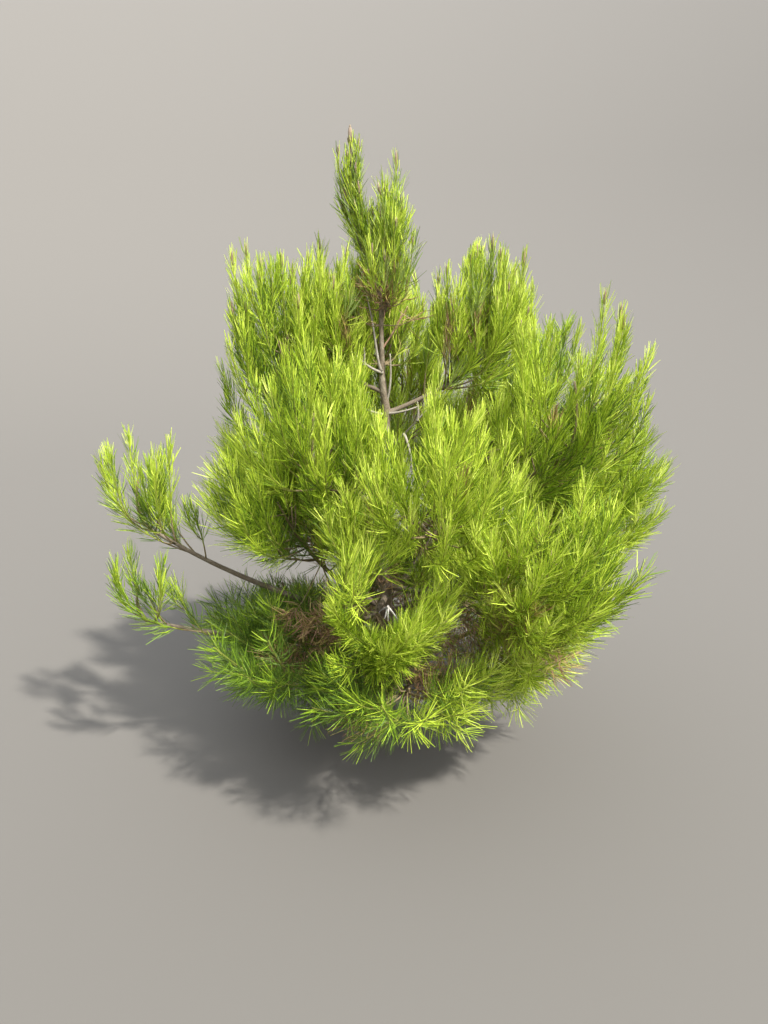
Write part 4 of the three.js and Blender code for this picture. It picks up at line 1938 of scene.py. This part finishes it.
HIGH_BROWN = (
    ((-0.035, -0.045, 1.430), (-0.15, -0.15, 1.0), 0.06, 420),
    ((-0.012, -0.050, 1.420), (0.1, -0.15, 1.0), 0.06, 420),
    ((-0.050, -0.035, 1.455), (-0.3, -0.1, 0.9), 0.05, 420),
    ((0.012, -0.045, 1.430), (0.3, -0.15, 1.0), 0.05, 360),
    ((-0.064, -0.03, 1.420), (-0.5, -0.1, 0.9), 0.06, 300),
    ((-0.034, -0.05, 1.475), (-0.2, -0.2, 0.9), 0.06, 300),
    ((0.041, -0.04, 1.420), (0.5, -0.1, 0.9), 0.06, 300),
    ((0.059, -0.03, 1.370), (0.8, -0.1, 0.6), 0.06, 260),
    ((-0.047, -0.03, 1.365), (-0.5, -0.2, 0.8), 0.06, 260),
    ((0.023, -0.05, 1.480), (0.2, -0.2, 0.9), 0.06, 300),
    ((-0.080, 0.0, 1.380), (-0.8, -0.1, 0.6), 0.06, 300), ((0.02, 0.03, 0.46), (0.2, -0.3, 0.7), 0.07),
    ((0.06, 0.03, 0.44), (0.5, -0.3, 0.4), 0.07), ((0.09, -0.02, 0.50), (0.4, -0.3, 0.6), 0.06),
    ((0.26, 0.10, 0.40), (0.2, -0.5, 0.3), 0.07), ((0.31, 0.08, 0.37), (0.4, -0.5, 0.1), 0.07),
    ((0.22, 0.12, 0.42), (-0.1, -0.5, 0.4), 0.07), ((0.28, 0.02, 0.36), (0.2, -0.5, -0.1), 0.06),
)
TUFTS = (
    *(Tuft(*row) for row in LOW_BROWN),
    *(Tuft(*row, length=0.08, leaves=Leaves.SHADED) for row in SHADED_GREEN),
    *(Tuft(*row, length=0.10, leaves=Leaves.SUNLIT) for row in SUNLIT_GREEN),
    *(Tuft(*row) for row in HIGH_BROWN),
)


@dataclass
class InnerTufts:
    """The dry brown tufts low in the crown and below the leader, and the green ones deep in the crown."""

    habit: Habit = Habit(wide=64, narrow=26, needle=0.062, tip_short=0.2)
    green_habit: Habit = Habit(wide=60, narrow=32, needle=0.084, tip_short=0.1, upsweep=0.1)
    loose: float = 16
    curl: float = 0.25
    trunk: Span = (0.3, 1.6)
    places: tuple[float, float, int] = (0.02, 0.98, 60)
    straight: float = 0.7
    radii: Span = (0.0022, 0.001)
    rings: int = 8
    sides: int = 6
    leafy_below: float = 0.03

    def build(
        self, crown: Crown, needles: Sequence[Material], twig_looks: Sequence[Material]
    ) -> None:
        """Hang each tuft from the nearest point of the trunk or a bough.

        Args:
            crown: The plan of the crown.
            needles: The needles' materials.
            twig_looks: The twigs' materials.
        """
        rng = np.random.default_rng(FIRST_SEED)
        lines = [TrunkRun(*self.trunk), *(mass.bough for mass in crown.masses)]
        wood = np.concatenate([line.even(np.linspace(*self.places)) for line in lines])
        leaves, twigs = Blades(), Blades()
        for tuft in TUFTS:
            place = np.array(tuft.place)
            root = wood[int(np.argmin(np.linalg.norm(wood - place, axis=1)))]
            end = place + unit(np.array(tuft.heading)) * tuft.length
            line = Curve((root, lerp(root, place, self.straight), place, end))
            add_tube(twigs, line, np.linspace(*self.radii, self.rings + 1), self.sides)
            bare = max(0.0, 1 - (tuft.length + self.leafy_below) / line.length())
            older, young = (TONES.index(tone) for tone in tuft.leaves.value)
            spray = Spray(self.green_habit)
            if tuft.leaves is Leaves.DEAD:
                spray = Spray(self.habit, per_metre=tuft.per_metre, loose=self.loose, curl=self.curl)
            spray.grow(leaves, Shoot(line, bare, False, 0.0), (older, young), rng)
        add_piece("dry_needles", leaves.mesh(), needles, "needles")
        add_piece("dry_tuft_twigs", twigs.mesh(smooth=True), twig_looks, "limb")


@dataclass(frozen=True)
class Daylight:
    """The painted light and shade of a spray: how bright a tone it takes where it stands in the crown. Places
    are in metres, a pair of them is a ramp.

    The lowest sprays on the left are in shade, painted in darker tones. Those on the right and in the middle
    of the front are in full sun, painted in lighter tones.
    """

    varies: float = 0.75
    outer: float = 0.6
    left_shade: float = 0.6
    left: Span = (0.10, -0.40)
    left_height: Span = (0.85, 0.55)
    right_light: float = 1.0
    right: Span = (0.15, 0.35)
    right_height: Span = (0.75, 0.60)
    sunny: float = 0.95
    sunny_at: float = 0.17
    sunny_half: float = 0.40
    sunny_height: Span = (0.39, 0.69)
    inner_dry: float = 0.25
    dry_within: float = 0.55
    olive_bright: float = 0.6
    steps: tuple[tuple[float, Tone, Tone], ...] = (
        (0.8, Tone.BRIGHT, Tone.FRESH),
        (0.4, Tone.GREEN, Tone.BRIGHT),
        (0.05, Tone.DEEP, Tone.GREEN),
        (-math.inf, Tone.DARK, Tone.DEEP),
    )

    def looks(self, habit: Habit, shoot: Shoot, rng: Rng) -> tuple[int, int]:
        """Choose the tones of a spray.

        Args:
            habit: The tier's habit.
            shoot: The shoot.
            rng: The source of differences.

        Returns:
            The numbers of the materials of its older and of its youngest needles.
        """
        x, _, z = shoot.line.even(1.0)[0]
        sunny = max(0.0, 1 - abs(x - self.sunny_at) / self.sunny_half) * ramp(z, *self.sunny_height)
        low_left = ramp(x, *self.left) * ramp(z, *self.left_height)
        low_right = ramp(x, *self.right) * ramp(z, *self.right_height)
        bright = rng.uniform(0, self.varies) + self.outer * shoot.outer - habit.shade
        bright += self.sunny * sunny + self.right_light * low_right - self.left_shade * low_left
        if rng.uniform() < habit.dry + self.inner_dry * shoot.inner and shoot.outer < self.dry_within:
            older, young = Tone.DRY, Tone.STRAW
        elif rng.uniform() < habit.olive:
            older, young = Tone.OLIVE, Tone.GREEN if bright < self.olive_bright else Tone.BRIGHT
        else:
            older, young = next(tones for least, *tones in self.steps if bright > least)
        return TONES.index(older), TONES.index(young)


@dataclass
class Foliage:
    """The twigs and needles of the masses, one piece of each for every mass."""

    twig_root: float = 0.0028
    twig_tip: float = 0.0011
    side_root: float = 0.7
    rings: int = 7
    sides: int = 5
    stem_sides: int = 8
    stem_rings: int = 10
    candles_from: float = 1.36
    candles: Span = (0.6, 1.25)
    daylight: Daylight = field(default_factory=Daylight)
    buds: Buds = field(default_factory=Buds)
    needles: list[Material] = field(default_factory=list)
    twigs: list[Material] = field(default_factory=list)
    triangles: int = 0
    sprays: int = 0

    def __post_init__(self) -> None:
        """Make the materials that all masses share."""
        self.needles = [PineNeedle(tone).material() for tone in Tone]
        self.twigs = [TWIG_BARK.material(), YOUNG_SHOOT.material()]

    def pieces(self, name: str, habit: Habit, shoots: Sequence[Shoot], stem: Curve | None) -> None:
        """Make the twigs and the needles of one mass.

        Args:
            name: The mass's name.
            habit: How its needles grow.
            shoots: Its shoots.
            stem: Its stem, or None where the trunk itself carries it.
        """
        rng = np.random.default_rng(sum(map(ord, name)))
        leaves, twigs = Blades(), Blades()
        spray = Spray(habit, per_metre=Spray.per_metre * habit.dense)
        if stem is not None:
            radii = np.linspace(BOUGH.tip_radius, STEM.tip_radius, self.stem_rings + 1)
            add_tube(twigs, stem, radii, self.stem_sides)
        for shoot in shoots:
            if isinstance(shoot.line, Curve):
                root = self.twig_root * (self.side_root if shoot.side else 1.0)
                radii = np.linspace(root, self.twig_tip, self.rings - 2 * shoot.side + 1)
                add_tube(twigs, shoot.line, radii, self.sides - shoot.side, shoot.bare)
                tip, way = shoot.line.spot(1.0)
                if shoot.candle or (habit.bud and not shoot.side and tip[2] > self.candles_from):
                    self.buds.add(tip, way, shoot.candle or habit.bud * rng.uniform(*self.candles))
            spray.grow(leaves, shoot, self.daylight.looks(habit, shoot, rng), rng)
        self.triangles += leaves.size() + twigs.size()
        self.sprays += len(shoots)
        add_piece(f"needles_{name}", leaves.mesh(), self.needles, "needles", f"mass_{name}")
        add_piece(f"twigs_{name}", twigs.mesh(smooth=True), self.twigs, "limb", f"mass_{name}")

    def build(self, crown: Crown) -> None:
        """Make the foliage of all masses and of the leader, the buds and the tufts.

        Args:
            crown: The plan of the crown.
        """
        for index, mass in enumerate(crown.masses):
            self.pieces(mass.name, mass.tier.habit, crown.shoots_of(index), mass.stem)
        run = TrunkRun(LEADER.start, LEADER.end)
        shoots = [Shoot(run, 0.0, False, 1.0, skin=LEADER.skin), *crown.leader_shoots()]
        self.pieces("leader", LEADER_HABIT, shoots, None)
        self.buds.build()
        InnerTufts().build(crown, self.needles, self.twigs)
        LOG.info("%d sprays, %d triangles of needles and twigs", self.sprays, self.triangles)


@dataclass(frozen=True)
class Studio:
    """A pale dished floor, a soft key light from the upper right and a pale sky, seen from eye height."""

    eye: Triple = (0.0, -2.35, 1.55)
    pitch: float = 18.0
    lens: float = 27.0
    sensor: float = 36.0
    floor_radius: float = 4.5
    floor_colour: int = 0x676460
    rim_radius: float = 11.0
    rim_turn: float = math.pi / 4
    rim_steps: int = 8
    ramp: float = 8.0
    spin_steps: int = 96
    key_strength: float = 6.4
    key_angle: float = 2.5
    key_from: Triple = (0.66, -0.52, 1.15)
    key_colour: Triple = (1.0, 0.97, 0.9)
    fill_strength: float = 2.6
    fill_angle: float = 40.0
    fill_from: Triple = (0.45, -1.0, 0.5)
    sky_strength: float = 1.7
    sky_colour: int = 0xE9EEF4

    def camera(self) -> None:
        """Place the camera where the photograph was taken from."""
        data = bpy.data.cameras.new("camera")
        data.lens = self.lens
        data.sensor_width = self.sensor
        camera = linked("camera", data)
        camera.location = self.eye
        camera.rotation_euler = (math.radians(90 - self.pitch), 0, 0)
        bpy.context.scene.camera = camera

    def floor(self) -> None:
        """Spin the floor's profile, which is level, turns up all round and ends in a ramp."""
        bm = bmesh.new()
        profile = [bm.verts.new((0, 0, 0)), bm.verts.new((self.floor_radius, 0, 0))]
        for k in range(1, self.rim_steps + 1):
            turn = self.rim_turn * k / self.rim_steps
            out = self.floor_radius + self.rim_radius * math.sin(turn)
            profile.append(bm.verts.new((out, 0, self.rim_radius * (1 - math.cos(turn)))))
        out, _, height = profile[-1].co
        profile.append(bm.verts.new((out + self.ramp, 0, height + self.ramp * math.tan(self.rim_turn))))
        edges = [bm.edges.new(pair) for pair in zip(profile, profile[1:])]
        bmesh.ops.spin(bm, geom=profile + edges, cent=(0, 0, 0), axis=(0, 0, 1), angle=2 * math.pi,
                       steps=self.spin_steps, use_merge=True)
        bmesh.ops.remove_doubles(bm, verts=bm.verts, dist=1e-4)
        bmesh.ops.recalc_face_normals(bm, faces=bm.faces)
        for face in bm.faces:
            face.smooth = True
            if face.normal.z < 0:
                face.normal_flip()
        mesh = bpy.data.meshes.new("floor")
        bm.to_mesh(mesh)
        bm.free()
        material = new_material("pale_floor")
        sockets = {"Base Color": linear(self.floor_colour), "Roughness": 0.9}
        mesh.materials.append(shown(material, add_node(material, "BsdfPrincipled", sockets)))
        linked("floor", mesh)

    def sun(self, name: str, strength: float, angle: float, way: Sequence[float]) -> bpy.types.Light:
        """Add a lamp.

        Args:
            name: Its name.
            strength: Its strength.
            angle: How wide it seems in the sky, in degrees.
            way: The direction that it shines from.

        Returns:
            The lamp's data.
        """
        data = bpy.data.lights.new(name, "SUN")
        data.energy = strength
        data.angle = math.radians(angle)
        linked(name, data).rotation_euler = Vector(way).to_track_quat("Z", "Y").to_euler()
        return data

    def lights(self) -> None:
        """Add the key light, the fill light and the pale sky."""
        self.sun("key", self.key_strength, self.key_angle, self.key_from).color = self.key_colour
        self.sun("fill", self.fill_strength, self.fill_angle, self.fill_from)
        world = bpy.data.worlds.new("sky")
        world.use_nodes = True
        background = world.node_tree.nodes["Background"]
        background.inputs["Color"].default_value = linear(self.sky_colour)
        background.inputs["Strength"].default_value = self.sky_strength
        bpy.context.scene.world = world

    def build(self) -> None:
        """Set up the camera, the floor and the lights."""
        self.camera()
        self.floor()
        self.lights()
        bpy.context.scene.view_settings.view_transform = "Standard"


def main() -> None:
    """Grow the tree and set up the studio."""
    logging.basicConfig(level=logging.INFO, format="%(message)s")
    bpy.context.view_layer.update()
    Studio().build()
    crown = Crown()
    TrunkBark().build(crown)
    Boughs().build(crown)
    DeadWood().build()
    BareTwigs().build()
    Foliage().build(crown)
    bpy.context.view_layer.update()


if __name__ == "__main__":
    main()
